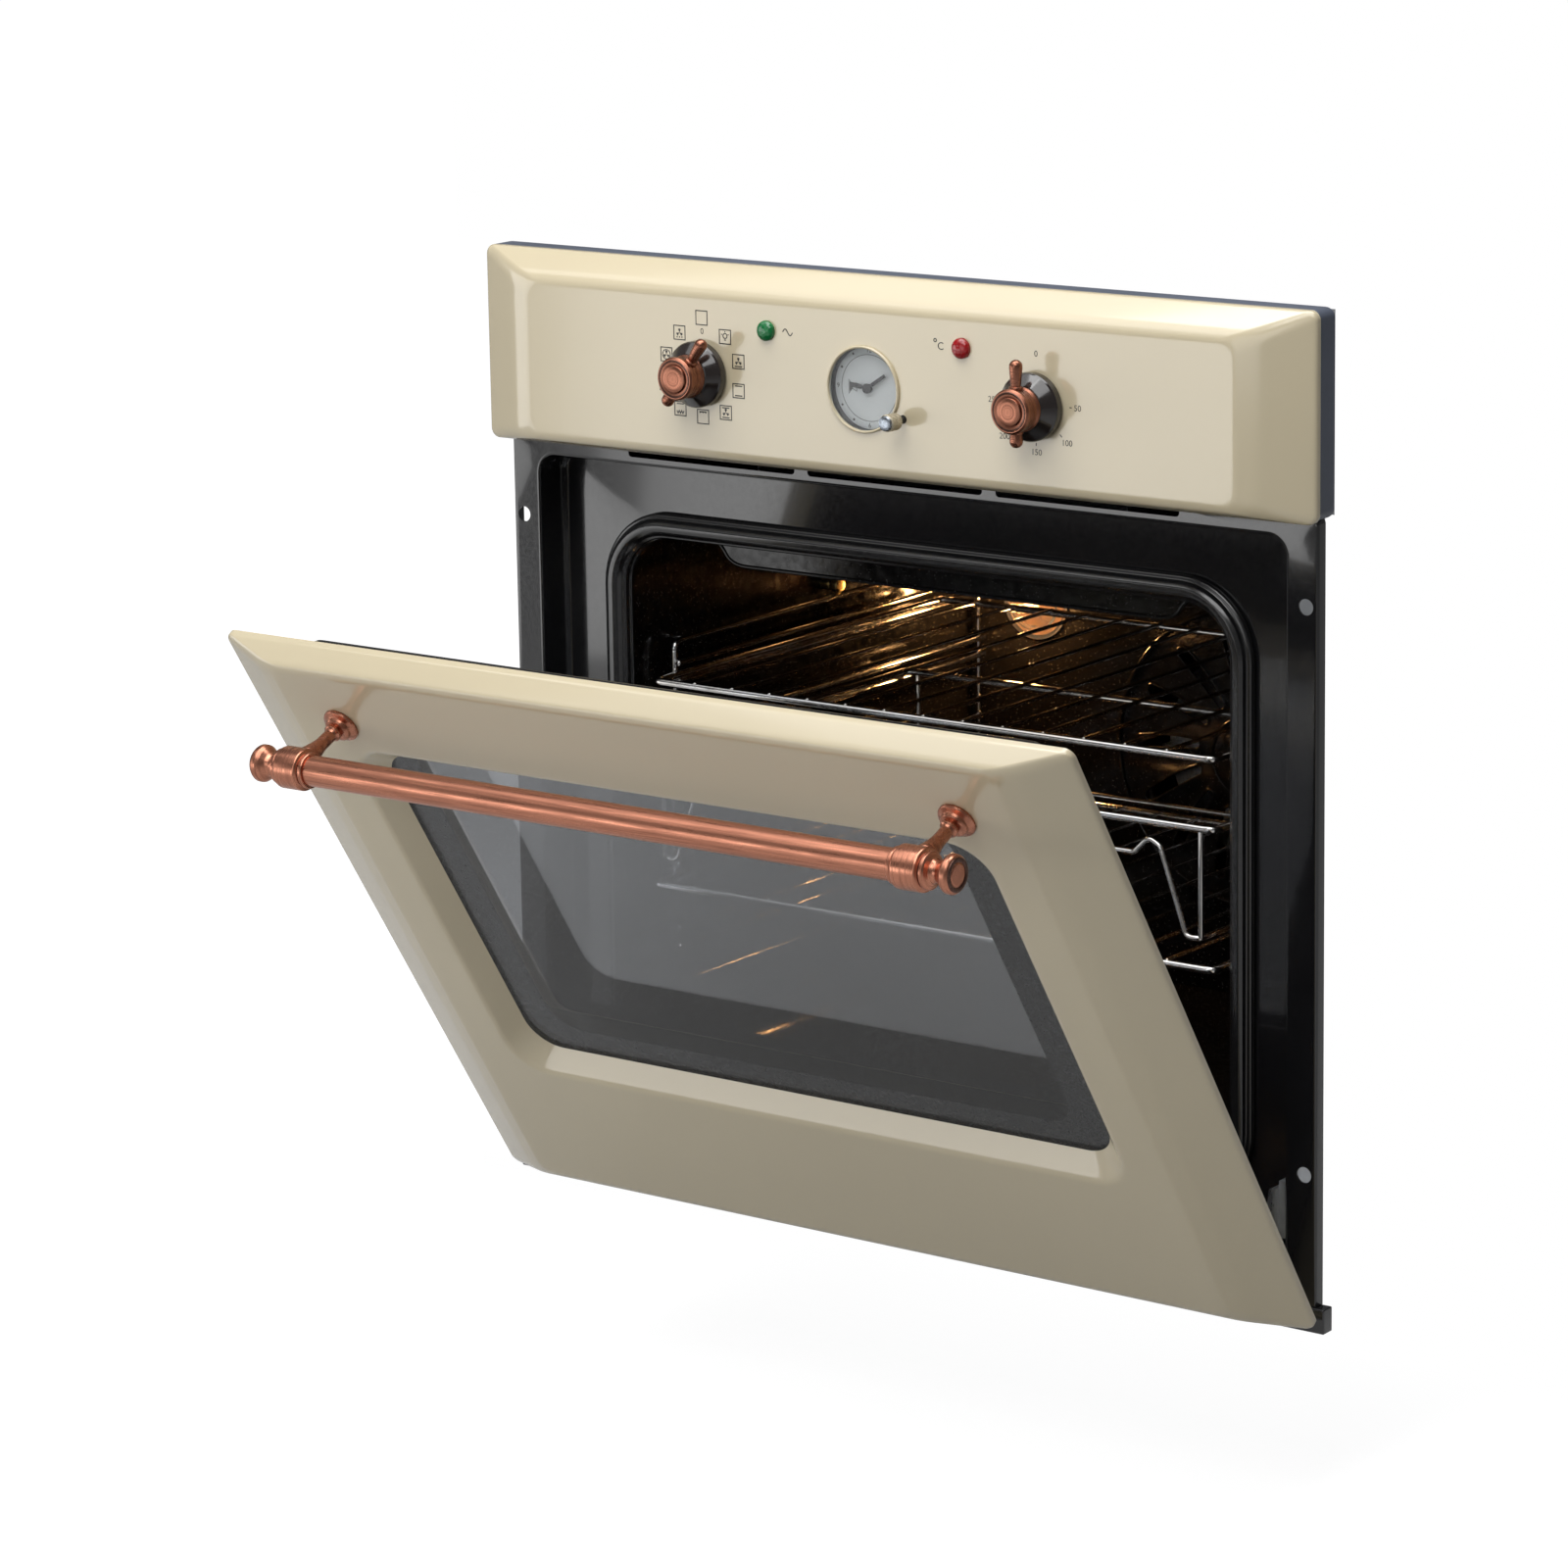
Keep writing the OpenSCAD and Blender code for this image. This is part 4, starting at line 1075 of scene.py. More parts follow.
class OVEN_OT_control_panel(bpy.types.Operator):
    """Pressed cream panel with sloping borders, the dark box behind it and the print on its face"""

    bl_idname = "oven.control_panel"
    bl_label = "Control panel"

    def execute(self, context):
        p = plan()
        outer, inner = dish_rings(p, p.panel_low, p.top, p.short_bevel, p.long_bevel)
        panel = drawn("control_panel_skin", Shape().loft(outer[::-1] + inner), "cream enamel")
        holes = Shape()
        front = p.face_y - 3
        back = p.face_y + 6
        for side in (-1, 1):
            holes.cylinder(side * p.knob_x, p.knob_z, 4.5, front, back)
            holes.cylinder(side * p.lamp_x, p.lamp_z, 5.8, front, back)
        holes.cylinder(0, p.knob_z, p.clock_r + 0.2, front, back, 96)
        holes.cylinder(p.setter_x, p.setter_z, 2.6, front, back)
        cut_out(panel, holes)
        hand_over(panel, "casing", "cream_enamel", "control_panel")
        self.box(p)
        self.print(p)
        return {"FINISHED"}

    def box(self, p):
        """The box is open towards the panel."""
        outside = [(0.4, p.back_y), (0, -8.4), (0, 5.4)] + bezier((0, 5.4), (0, 8), (2.6, 8))
        inside = [(1.5, 6.5), (1.5, p.back_y + 0.3)]
        ring = growing(p.half, p.panel_low + 1.5, p.top, 6, 8)
        shape = Shape().loft([ring(-inset, y) for inset, y in inside + outside])
        piece("panel_box_shell", shape, "casing", "dark_enamel", "box enamel", "panel_box")

    def print(self, p):
        """Symbols round the function knob, the scale round the temperature knob and two signs."""
        y = p.face_y
        lines = Shape()
        for dx, dz, marks in SYMBOL_PLACES:
            x = dx - p.knob_x
            z = p.knob_z + dz
            corners = [(-1, -1), (1, -1), (1, 1), (-1, 1)]
            lines.stroke([(x + 4.2 * u, z + 4.2 * v) for u, v in corners], 0.65, y, closed=True)
            for mark in marks:
                mark(lines, x, z, y)
        wave = [
            (0.6 * (i - 6) - p.sign_x, p.sign_z - 0.5 + 1.9 * math.sin(math.pi * i / 6))
            for i in range(13)
        ]
        lines.stroke(wave, 0.65, y)
        for dx, dz, u, v in ((24.9, 1.0, 0.8, 0), (18.2, -15.8, 0.7, -0.7), (1.2, -22.1, 0, -0.9)):
            x = p.knob_x + dx
            z = p.knob_z + dz
            lines.stroke([(x - u, z - v), (x + u, z + v)], 0.6, y)
        lines.stroke(circle_of(p.sign_x - 3.2, p.sign_z + 2.8, 0.95, 14), 0.6, y, closed=True)
        parts = [drawn("panel_lines", lines, "print ink", SMOOTH_WIRE)]
        for text, dx, dz in SCALE_PLACES:
            parts.append(lettered(text, 3.6, p.knob_x + dx, p.knob_z + dz, y))
        parts.append(lettered("0", 3.6, 1.8 - p.knob_x, p.knob_z + 25.5, y))
        parts.append(lettered("C", 4.6, p.sign_x + 0.6, p.sign_z - 0.6, y))
        hand_over(join_pieces("panel_print", parts), "casing", "dial_grey")


# The marks inside the symbols' squares, each drawn about the square's centre
def mark_bulb(lines, x, z, y):
    lines.stroke(circle_of(x, z + 0.5, 1.5), 0.6, y, closed=True)
    lines.stroke([(x - 0.7, z - 1.9), (x + 0.7, z - 1.9)], 0.65, y)
    for angle in (20, 90, 160):
        a = math.radians(angle)
        ray = [(x + r * math.cos(a), z + 0.5 + r * math.sin(a)) for r in (2.1, 3.0)]
        lines.stroke(ray, 0.55, y)


def mark_fan(lines, x, z, y):
    for angle in (90, 210, 330):
        blade = [(x, z)]
        for r, lean in ((2.3, -26), (2.5, 0), (2.3, 26)):
            a = math.radians(angle + lean)
            blade.append((x + r * math.cos(a), z + r * math.sin(a)))
        lines.prism(blade, y - PRINT, y)


def mark_ring(lines, x, z, y):
    lines.stroke(circle_of(x, z, 2.9, 24), 0.55, y, closed=True)


def mark_top(lines, x, z, y):
    lines.stroke([(x - 2.7, z + 2.9), (x + 2.7, z + 2.9)], 0.7, y)


def mark_bottom(lines, x, z, y):
    mark_top(lines, x, z - 5.8, y)


def mark_grill(lines, x, z, y):
    for dx in (-2.1, 0, 2.1):
        tooth = [(x + dx - 0.8, z + 3.2), (x + dx + 0.8, z + 3.2), (x + dx, z + 1.9)]
        lines.prism(tooth, y - PRINT, y)


def mark_wave(lines, x, z, y):
    saw = [(x - 2.7 + 0.9 * i, z - (2.9 if i % 2 else 1.3)) for i in range(7)]
    lines.stroke(saw, 0.7, y)


def mark_drops(lines, x, z, y):
    for dx in (-1.8, 0, 1.8):
        lines.stroke([(x + dx, z - 2.2), (x + dx, z - 3.1)], 0.7, y)


# Each symbol's place from the function knob's centre, and its marks
SYMBOL_PLACES = (
    (1.6, 33.7, ()),
    (19, 23.5, (mark_bulb,)),
    (28.6, 9.3, (mark_fan, mark_bottom)),
    (28.4, -8.3, (mark_top, mark_bottom)),
    (18.6, -22.2, (mark_fan, mark_top, mark_bottom)),
    (1.4, -26, (mark_top, mark_grill)),
    (-15.6, -22.4, (mark_top, mark_wave)),
    (-26.4, -8, (mark_fan, mark_grill)),
    (-25.4, 9.7, (mark_fan, mark_ring)),
    (-15.2, 23.6, (mark_fan, mark_drops)),
)

# Each number of the scale, and its place from the temperature knob's centre
SCALE_PLACES = (
    ("0", 1.4, 30.1),
    ("50", 29.6, 0.8),
    ("100", 22.3, -19.8),
    ("150", 1.4, -26.8),
    ("200", -20.6, -19.3),
    ("250", -28.2, 1.4),
)


class OVEN_OT_front_frame(bpy.types.Operator):
    """Black pressed frame with its flange, air slots, fixing holes and recess, and the base trim"""

    bl_idname = "oven.front_frame"
    bl_label = "Front frame"

    def execute(self, context):
        p = plan()
        flange = growing(p.frame_half, p.frame_low, p.frame_top, 3)
        recess = growing(p.recess_half, p.recess_low, p.recess_high, 12)
        mouth = growing(*p.mouth)
        rings = [flange(0, p.rim_y), flange(0, 2)]
        rings += [flange(-inset, y, 3) for inset, y in bezier((0, 2), (0, 0), (2, 0), 4)[1:]]
        wall = [(2.2, 0)] + bezier((1.6, 0), (0, 0), (0, 1.8)) + [(0, 9), (0, 18.5)]
        wall += bezier((0, 18.5), (0, 24), (-5.5, 24), 7)
        rings += [recess(grow, y) for grow, y in wall]
        rings += [mouth(grow, y) for grow, y in bezier((4.2, 24), (0, 24), (0, 26.5), 6)]
        rings += [mouth(p.sheet, 26.5, 32), mouth(5, 25.2)]
        for grow, y in ((-4.5, 25.2), (p.sheet, 19.5), (p.sheet, 2.0), (2.6, p.sheet)):
            rings.append(recess(grow, y))
        rings += [flange(-p.sheet, p.sheet, 2), flange(-p.sheet, p.rim_y, 2)]
        sheet = drawn("front_frame_sheet", Shape().loft(rings, closed=True), "black enamel", 40)
        holes = Shape()
        r = (p.slot_high - p.slot_low) / 2
        z = p.slot_low + r
        for middle in (-p.slot_pitch, 0, p.slot_pitch):
            right = circle_of(middle + p.slot_half - r, z, r, 10, -90, 180)
            left = circle_of(middle - p.slot_half + r, z, r, 10, 90, 180)
            holes.prism(right + left, -2, 1.9)
        for x in (-p.hole_x, p.hole_x):
            for z in p.hole_z:
                holes.cylinder(x, z, 4.75, -2, 3)
        cut_out(sheet, holes, 40)
        hand_over(sheet, "casing", "black_enamel", "front_frame")
        trim = Shape().board(-p.half, p.half, -2, 0, 0, p.trim_top, 0.7)
        for side in (-1, 1):
            ends = sorted((side * (p.frame_half + 0.2), side * p.half))
            trim.board(*ends, -1, p.rim_y, 0, p.trim_top, 0.7)
        piece("base_trim_strip", trim, "casing", "black_enamel", "black enamel", "base_trim")
        return {"FINISHED"}


class OVEN_OT_door_seal(bpy.types.Operator):
    """Soft black seal with a hollow bead round the cavity's mouth"""

    bl_idname = "oven.door_seal"
    bl_label = "Door seal"

    def execute(self, context):
        p = plan()
        corners = (
            (1, 24), (1, 20.5), (3.2, 19.3), (4.8, 16.4), (6.8, 14.6), (10.2, 14.4), (12.8, 16.2),
            (13.4, 18.6), (16.8, 19.4), (17, 24),
        )
        path = rounded_path([(a, b, 0) for a, b in corners], 2.2, closed=True, steps=3)
        ring = growing(*p.mouth, 12)
        shape = Shape().loft([ring(grow, y) for grow, y, _ in path], closed=True)
        piece("seal_bead", shape, "casing", "black_rubber", "black rubber", "door_seal", angle=50)
        return {"FINISHED"}


class OVEN_OT_cavity(bpy.types.Operator):
    """Enamelled cavity with its fan cover, ceiling lip and lamp"""

    bl_idname = "oven.cavity"
    bl_label = "Cavity"

    def execute(self, context):
        p = plan()
        ring = growing(p.cavity_half, p.cavity_low, p.cavity_high, 30, 12)
        front = p.cavity_y
        end = p.cavity_end
        inside = bezier((-8, end), (0, end), (0, end - 8))
        inside += bezier((0, front + 2.5), (0, front), (2.5, front), 4)
        rings = [ring(-9, end)] + [ring(grow, y) for grow, y in inside]
        rings += [
            ring(15, front, 40),
            ring(15, front + p.sheet, 40),
            ring(2.6, front + p.sheet),
            ring(p.sheet, front + 3),
            ring(p.sheet, end + p.sheet),
        ]
        shell = drawn("cavity_shell", Shape().loft(rings), "oven enamel")
        x, _, z = p.oven_lamp
        holes = Shape().cylinder(0, p.fan_z, 6, end - 3, end + 5)
        holes.cylinder(x, z, p.oven_lamp_hole, end - 3, end + 5)
        cut_out(shell, holes)
        hand_over(shell, "casing", "oven_enamel", "cavity")
        self.cover(p)
        self.lip(p)
        self.lamp(p)
        return {"FINISHED"}

    def cover(self, p):
        """The rear cover has swirled slots round the fan, each with a raised lip."""
        y = p.cover_y
        slots = bpy.context.scene.oven_sizes.fan_slots
        ring = growing(p.cavity_half, p.cavity_low, p.cavity_high, 30)
        cuts = ((0.3, y + p.sheet), (0.3, y + 0.4), (0.7, y), (18, y))
        shape = Shape().loft([ring(-cut, depth) for cut, depth in cuts])
        sheet = drawn("fan_cover_sheet", shape, "oven enamel")
        holes = Shape()
        for i in range(slots):
            holes.prism(slot_outline(360 * i / slots + 8, p.fan_z), y - 4, y + 4)
        x, _, z = p.oven_lamp
        holes.cylinder(x, z, p.oven_lamp_hole, y - 4, y + 4)
        holes.prism(circle_of(0, p.fan_z, 9, 32), y - 4, y + 4)
        cut_out(sheet, holes)
        lip = Shape().tube([(x, 0, z) for x, z in slot_outline(8, 0)], 1.1, 8, closed=True)
        lips = repeated(
            "cover_lips", lip, "oven enamel", slots, (0, y + 0.1, p.fan_z),
            spin=(0, 2 * math.pi / slots, 0), angle=SMOOTH_WIRE,
        )
        ridge = Shape()
        for radius, high in ((100, 2.0), (27, 1.4)):
            circle = circle_of(0, p.fan_z, radius, 72)
            ridge.tube([(x, y + 0.1, z) for x, z in circle], high, 10, closed=True)
        dome = Shape().lathe(quarter(9.5, 3.5), (0, y, p.fan_z), "front", 32)
        extra = drawn("cover_ridges", ridge, "oven enamel", SMOOTH_WIRE)
        screw = drawn("cover_screw", dome, "plain steel", SMOOTH_WIRE)
        plate = join_pieces("fan_cover_plate", [sheet, lips, extra, screw])
        hand_over(plate, "casing", "oven_enamel", "fan_cover")

    def lip(self, p):
        """A pressed lip under the ceiling, rolled at its lower edge."""
        y = p.cavity_y + 28
        top = p.cavity_high - 0.4
        low = p.cavity_high - 20
        right = bezier((150, low), (163, low), (167, low + 8), 6)
        right += bezier((167, low + 8), (172, top - 4), (186, top), 6)
        left = [(-x, z) for x, z in right[::-1]]
        shape = Shape().prism(right + left, y, y + p.sheet)
        middle = y + p.sheet / 2
        shape.tube([(x, middle, z) for x, z in left + right], 1.5, 8)
        shape.board(-150, 150, middle, y + 32, top - p.sheet, top, 0.3)
        piece(
            "ceiling_lip_sheet", shape, "casing", "oven_enamel", "oven enamel", "ceiling_lip", angle=50
        )

    def lamp(self, p):
        """A domed lens in a round housing."""
        profile = (
            (0, 12.6), (6, 12.3), (12, 10.6), (17, 7.4), (20.5, 3.6), (21.6, 3.0), (24.6, 2.8),
            (25, 2.2), (25, 0.2), (17.2, 0.2), (16.8, 3.6), (13.5, 7), (9, 9.2), (0, 10.4),
        )
        glass = Shape().lathe(soft(profile, 1.2, 3), p.oven_lamp, steps=48)
        piece("lamp_lens_glass", glass, "casing", "lamp_glass", "lamp glass", "lamp_lens")
        wall = [(22, -0.4), (22, -27), (20, -27), (20, -3), (20, -0.4)]
        cup = Shape().lathe(wall, p.oven_lamp, steps=48, closed=True)
        cup.lathe([(0, -22), (19.9, -22), (19.9, -23.5), (0, -23.5)], p.oven_lamp, steps=48)
        piece("lamp_cup", cup, "casing", "pale_ceramic", "pale ceramic", "lamp_housing")


def slot_outline(degrees, z):
    """The outline of one slot of the fan cover: a long drop that leans with the swirl."""
    outline = circle_of(40, 0, 3.6, 8, 90, 180)
    outline += bezier((40, -3.6), (60, -3.2), (82, 4.4))[1:-1]
    outline += circle_of(82, 9, 4.6, 8, -90, 180)
    outline += bezier((82, 13.6), (58, 7.5), (40, 3.6))[1:-1]
    return turned_about(outline, degrees, z)


class OVEN_OT_heaters(bpy.types.Operator):
    """Grill element under the ceiling"""

    bl_idname = "oven.heaters"
    bl_label = "Heaters"

    def execute(self, context):
        p = plan()
        z = p.cavity_high - 17
        near = p.cavity_y + 60
        far = p.cover_y - 30
        half = [
            (30, p.cavity_end + 30), (30, near + 18), (90, near + 18), (90, far), (150, far), (150, near),
        ]
        route = half + [(-x, y) for x, y in half[::-1]]
        shape = Shape().tube(rounded_path([(x, y, z) for x, y in route], 16, steps=7), 3.3)
        for x in (-90, 90):
            shape.board(x - 0.7, x + 0.7, near + 60, near + 72, z, p.cavity_high - 0.3, 0.2)
        shape.board(-42, 42, p.cavity_end - 1.5, p.cavity_end, z - 8, z + 8, 0.3)
        piece(
            "grill_tube", shape, "casing", "heater_steel", "heater steel", "grill_element", angle=50
        )
        return {"FINISHED"}


class OVEN_OT_racks(bpy.types.Operator):
    """Chromed wire racks on both walls of the cavity and the nuts that hold them"""

    bl_idname = "oven.racks"
    bl_label = "Side racks"

    def execute(self, context):
        p = plan()
        levels = bpy.context.scene.oven_sizes.rack_levels
        parts = []
        for side in (-1, 1):
            x = side * p.rack_x
            wall = side * (p.cavity_half - 0.5)
            corners = [
                (x, p.rack_front, p.rack_low),
                (x, p.rack_rear, p.rack_low),
                (x, p.rack_rear, p.rack_top),
                (x, p.rack_front, p.rack_top),
            ]
            shape = Shape().loop(corners, 7, 2, 12)
            for z in (p.rack_low, p.rack_top):
                shape.rod((x, p.rack_front + 12, z), (wall, p.rack_front + 12, z), 1.7, 10)
                shape.rod((x, p.rack_rear - 4, z), (x, p.cover_y - 0.2, z), 1.7, 10)
            parts.append(drawn("rack_frame", shape, "chromed wire", SMOOTH_WIRE))
            rail = Shape().rod((0, p.rack_front - 2, 0), (0, p.rack_rear + 2, 0), 2, 12)
            for rise in (-4.8, 6.7):
                low = (x - side * 3.9, 0, level(0) + rise)
                rails = repeated(
                    "rack_rails", rail, "chromed wire", levels, low, (0, 0, LEVEL_STEP),
                    angle=SMOOTH_WIRE,
                )
                parts.append(rails)
        hand_over(join_pieces("rack_wires", parts), "casing", "chromed_wire", "side_racks")
        profile = (
            (0, -0.3), (4.6, -0.3), (4.6, 6), (4, 6.4), (4, 8), (5.4, 8.6), (5.4, 12.6), (4.6, 13.4),
            (0, 13.8),
        )
        nuts = Shape()
        for side in (-1, 1):
            wall = (side * (p.cavity_half - 0.3), p.cavity_y + 205, p.rack_top + 7.6)
            nuts.lathe(soft(profile, 0.35, 3), wall, sideways(-side), 32)
        piece("rack_ring_nuts", nuts, "casing", "brass_nut", "brass nut", "rack_nuts")
        return {"FINISHED"}


def wire_frame(half, front, rear, z):
    """A level rectangle of thick wire."""
    corners = [(-half, front, z), (half, front, z), (half, rear, z), (-half, rear, z)]
    return Shape().loop(corners, 6, 2.5, 14)


class OVEN_OT_shelves(bpy.types.Operator):
    """Two wire shelves and the frame for a roasting tray"""

    bl_idname = "oven.shelves"
    bl_label = "Shelves"

    def execute(self, context):
        p = plan()
        self.shelf(p, "upper_shelf", level(4))
        self.shelf(p, "lower_shelf", level(1))
        self.tray(p, level(3))
        return {"FINISHED"}

    def shelf(self, p, name, z):
        sizes = bpy.context.scene.oven_sizes
        pitch = sizes.wire_pitch / MM
        first = -pitch * (sizes.shelf_wires - 1) / 2
        frame_wire = wire_frame(p.shelf_half, p.shelf_front, p.shelf_rear, z)
        edge = drawn(name + "_edge", frame_wire, "chromed wire", SMOOTH_WIRE)
        wire = Shape().rod((0, p.shelf_front - 1.6, 0), (0, p.shelf_rear + 1, 0), 1.3, 10)
        wires = repeated(
            name + "_rods", wire, "chromed wire", sizes.shelf_wires, (first, 0, z + 1.8),
            step=(pitch, 0, 0), angle=SMOOTH_WIRE,
        )
        hand_over(join_pieces(name + "_wires", [edge, wires]), name, "chromed_wire", name)

    def tray(self, p, z):
        """A frame on the rack with a bent wire hung low in front."""
        front = p.shelf_front
        rear = p.shelf_rear - 40
        post = p.shelf_half - 9
        hang = 66
        low = z - hang
        wire_r = 1.8
        shape = wire_frame(p.shelf_half, front, rear, z)
        bends = [(0, low), (10, low), (28, z - 14), (36, z - 10), (46, z - 20)]
        bends = [(post - inset, h) for inset, h in bends]
        route = [(x, front, h) for x, h in bends] + [(-x, front, h) for x, h in bends[::-1]]
        shape.loop(route + [(-post, rear, low), (post, rear, low)], 5, wire_r, 12)
        for x in (-post, post):
            for y in (front, rear):
                shape.rod((x, y, low), (x, y, z), wire_r, 12)
        piece(
            "tray_frame_wires", shape, "tray_frame", "chromed_wire", "chromed wire", "tray_frame",
            angle=SMOOTH_WIRE,
        )


class OVEN_OT_knobs(bpy.types.Operator):
    """Two knobs with black skirts, copper hubs, lever grips and spun caps"""

    bl_idname = "oven.knobs"
    bl_label = "Knobs"

    def execute(self, context):
        p = plan()
        self.knob(p, "selector", -p.knob_x, bpy.context.scene.oven_sizes.knob_turn, "left")
        self.knob(p, "thermostat", p.knob_x, 0, "right")
        return {"FINISHED"}

    def knob(self, p, name, x, angle, side):
        centre = (x, p.face_y, p.knob_z)
        body = name + "_knob"
        copper = f"copper {side} knob"
        skirt = (
            (0, 0.4), (18.6, 0.4), (20, 1.2), (20, 6.0), (19.3, 7.2), (13.4, 12.3), (12.8, 12.6),
            (0, 12.6),
        )
        piece(
            name + "_skirt_cone", Shape().lathe(soft(skirt, 0.7, 4), centre), body, "black_gloss",
            "black gloss", name + "_skirt",
        )
        hub = (
            (0, 12.3), (12.6, 12.3), (13, 12.8), (13, 14.2), (12.2, 15.2), (12.2, 21.6), (13, 22.4),
            (13, 24.9), (11.9, 26),
        )
        well = [(10.6, 26.1), (8.7, 25.6), (8.7, 23.4), (0, 23.4)]
        ring = [(8.75, 25.5), (11.2, 26.35), (11.7, 25.9), (11.5, 25.2), (8.8, 24.6)]
        collar = [(2.9, 11.6), (4.0, 12.0), (4.2, 12.8), (4.0, 13.6), (2.9, 14.0)]
        shape = Shape().lathe(soft(hub, 0.3, 3) + well, centre)
        shape.lathe(soft(ring, 0.2, 2), centre, slot=1, closed=True)
        lever_y = 18.5
        middle = (x, p.face_y - lever_y, p.knob_z)
        for reach, way in ((25.3, 1), (17.9, -1)):
            toward = (math.sin(angle) * way, 0, math.cos(angle) * way)
            lever = [(0, 9.4), (2.7, 9.4), (2.75, 13.5), (3.15, reach * 0.62), (3.85, reach - 1.6)]
            shape.lathe(lever + quarter(3.9, 3.8, reach), middle, toward, 32)
            shape.lathe(soft(collar, 0.3, 2), middle, toward, 32, closed=True)
        shape.cylinder(x, p.knob_z, 3, p.face_y - 12.4, p.rim_y + 14, 24, slot=2)
        piece(
            name + "_grip_lever", shape, body, "copper", (copper, "copper dark", "plain steel"),
            name + "_grip",
        )
        cap = ((0, 23.6), (8.45, 23.6), (8.5, 25.8), (8.1, 26.7), (6, 27.05), (3, 27.2), (0, 27.25))
        disc = Shape().lathe(soft(cap, 0.4, 4), centre)
        piece(name + "_cap_disc", disc, body, "copper", copper, name + "_cap")


class OVEN_OT_clock(bpy.types.Operator):
    """Analogue clock with its bezel, dial, hands, glass and setting knob"""

    bl_idname = "oven.clock"
    bl_label = "Clock"

    def execute(self, context):
        p = plan()
        centre = (0, p.face_y, p.knob_z)
        rim = p.clock_r
        edge = rim - 0.8
        bezel = (
            (edge, -6), (rim, -6), (rim, 0), (rim + 1, 0.05), (rim + 0.95, 1.1), (rim + 0.3, 1.9),
            (edge + 0.2, 1.6), (edge, 0.8),
        )
        ring = Shape().lathe(soft(bezel, 0.4, 4), centre, steps=128, closed=True)
        piece("clock_bezel_ring", ring, "casing", "champagne", "clock rim", "clock_bezel")
        self.dial(p)
        lens = [(0, 0.8), (edge - 4, 0.7), (edge - 0.1, 0.3), (edge - 0.1, -0.3), (0, -0.3)]
        glass = Shape().lathe(lens, centre)
        piece("clock_lens", glass, "casing", "clear_glass", "clock pane", "clock_glass", angle=20)
        self.hands(p)
        self.setter(p)
        return {"FINISHED"}

    def dial(self, p):
        y = p.dial_y
        centre = (0, y, p.knob_z)
        radius = p.clock_r - 0.3
        inner = radius - 0.6
        outer = radius - 0.5
        disc = Shape().lathe([(0, 0), (radius, 0), (radius, -0.9), (0, -0.9)], centre)
        wall = [(inner, 0.1), (outer, 0.1), (outer, 5.2), (inner, 5.2)]
        circle = Shape().stroke(circle_of(0, p.knob_z, 19.6, 72), 0.3, y, closed=True)
        parts = [
            drawn("dial_disc", disc, "dial paint"),
            drawn("dial_wall", Shape().lathe(wall, centre, closed=True), "dial wall"),
            drawn("dial_circle", circle, "print ink", SMOOTH_WIRE),
        ]
        dots = Shape()
        numbers = []
        for hour in range(1, 13):
            a = math.radians(30 * hour)
            if hour % 3:
                middle = (22.3 * math.sin(a), p.knob_z + 22.3 * math.cos(a))
                dots.prism(circle_of(*middle, 0.7, 12), y - PRINT, y)
            else:
                place = (22.1 * math.sin(a), p.knob_z + 22.1 * math.cos(a))
                numbers.append(lettered(str(hour), 2.8, *place, y))
        parts.append(drawn("dial_dots", dots, "print ink"))
        parts += numbers
        outline = ((-14.6, 4.2), (-12, 1), (-9, 2.6), (-9, -2.6), (-12, -1), (-14.6, -4.2))
        sand = ((-14.2, 3.2), (-11.8, 0.6), (-11.8, -0.6), (-14.2, -3.2))
        sign = Shape().stroke([(x, p.knob_z + z) for x, z in outline], 0.35, y, closed=True)
        sign.prism([(x, p.knob_z + z) for x, z in sand], y - 0.06, y)
        parts.append(drawn("dial_sign", sign, "print ink"))
        hand_over(join_pieces("dial_face", parts), "casing", "dial_grey", "clock_dial")

    def hands(self, p):
        for name, angle, reach, half, lift, hub, shaft in (
            ("hour_hand", 277, 12.5, 1.3, 1.6, 2.6, 1.4),
            ("minute_hand", 57, 15.5, 1.1, 3.0, 2.9, 0.8),
        ):
            y = p.dial_y - lift
            right = [(0.5, -3), (0.5, 4), (half, 4.6), (half, reach)]
            left = [(-x, z) for x, z in right[::-1]]
            shape = Shape().prism(turned_about(right + left, angle, p.knob_z), y, y + 0.6)
            shape.cylinder(0, p.knob_z, hub, y - 0.2, y + 0.9, 24)
            shape.cylinder(0, p.knob_z, shaft, y, y + 10 + lift, 20)
            piece(name + "_pointer", shape, name, "dark_plastic", "dark plastic", name)

    def setter(self, p):
        centre = (p.setter_x, p.face_y, p.setter_z)
        head = ((0, 7), (4.4, 7), (4.9, 7.6), (4.9, 16.6), (4.7, 17.3), (0, 17.3))
        end = ((0, 17.2), (4.5, 17.2), (4.6, 17.7), (4.1, 18.8), (2.4, 19), (0, 19))
        shape = Shape().lathe([(0, -36), (2, -36), (2, 7.6), (0, 7.6)], centre, steps=24, slot=1)
        shape.lathe(soft(head, 0.4, 3), centre, steps=48)
        shape.lathe(soft(end, 0.3, 3), centre, steps=48, slot=2)
        body = drawn("setter_body", shape, ("champagne", "dark plastic", "knob steel"))
        rib = Shape().prism([(-0.28, 4.7), (0.28, 4.7), (0.16, 5.2), (-0.16, 5.2)], -16.6, -7.8)
        ribs = repeated("setter_ribs", rib, "champagne", 32, centre, spin=(0, math.pi / 16, 0))
        knob = join_pieces("setting_knob_head", [body, ribs])
        hand_over(knob, "clock_setter", "champagne", "setting_knob")


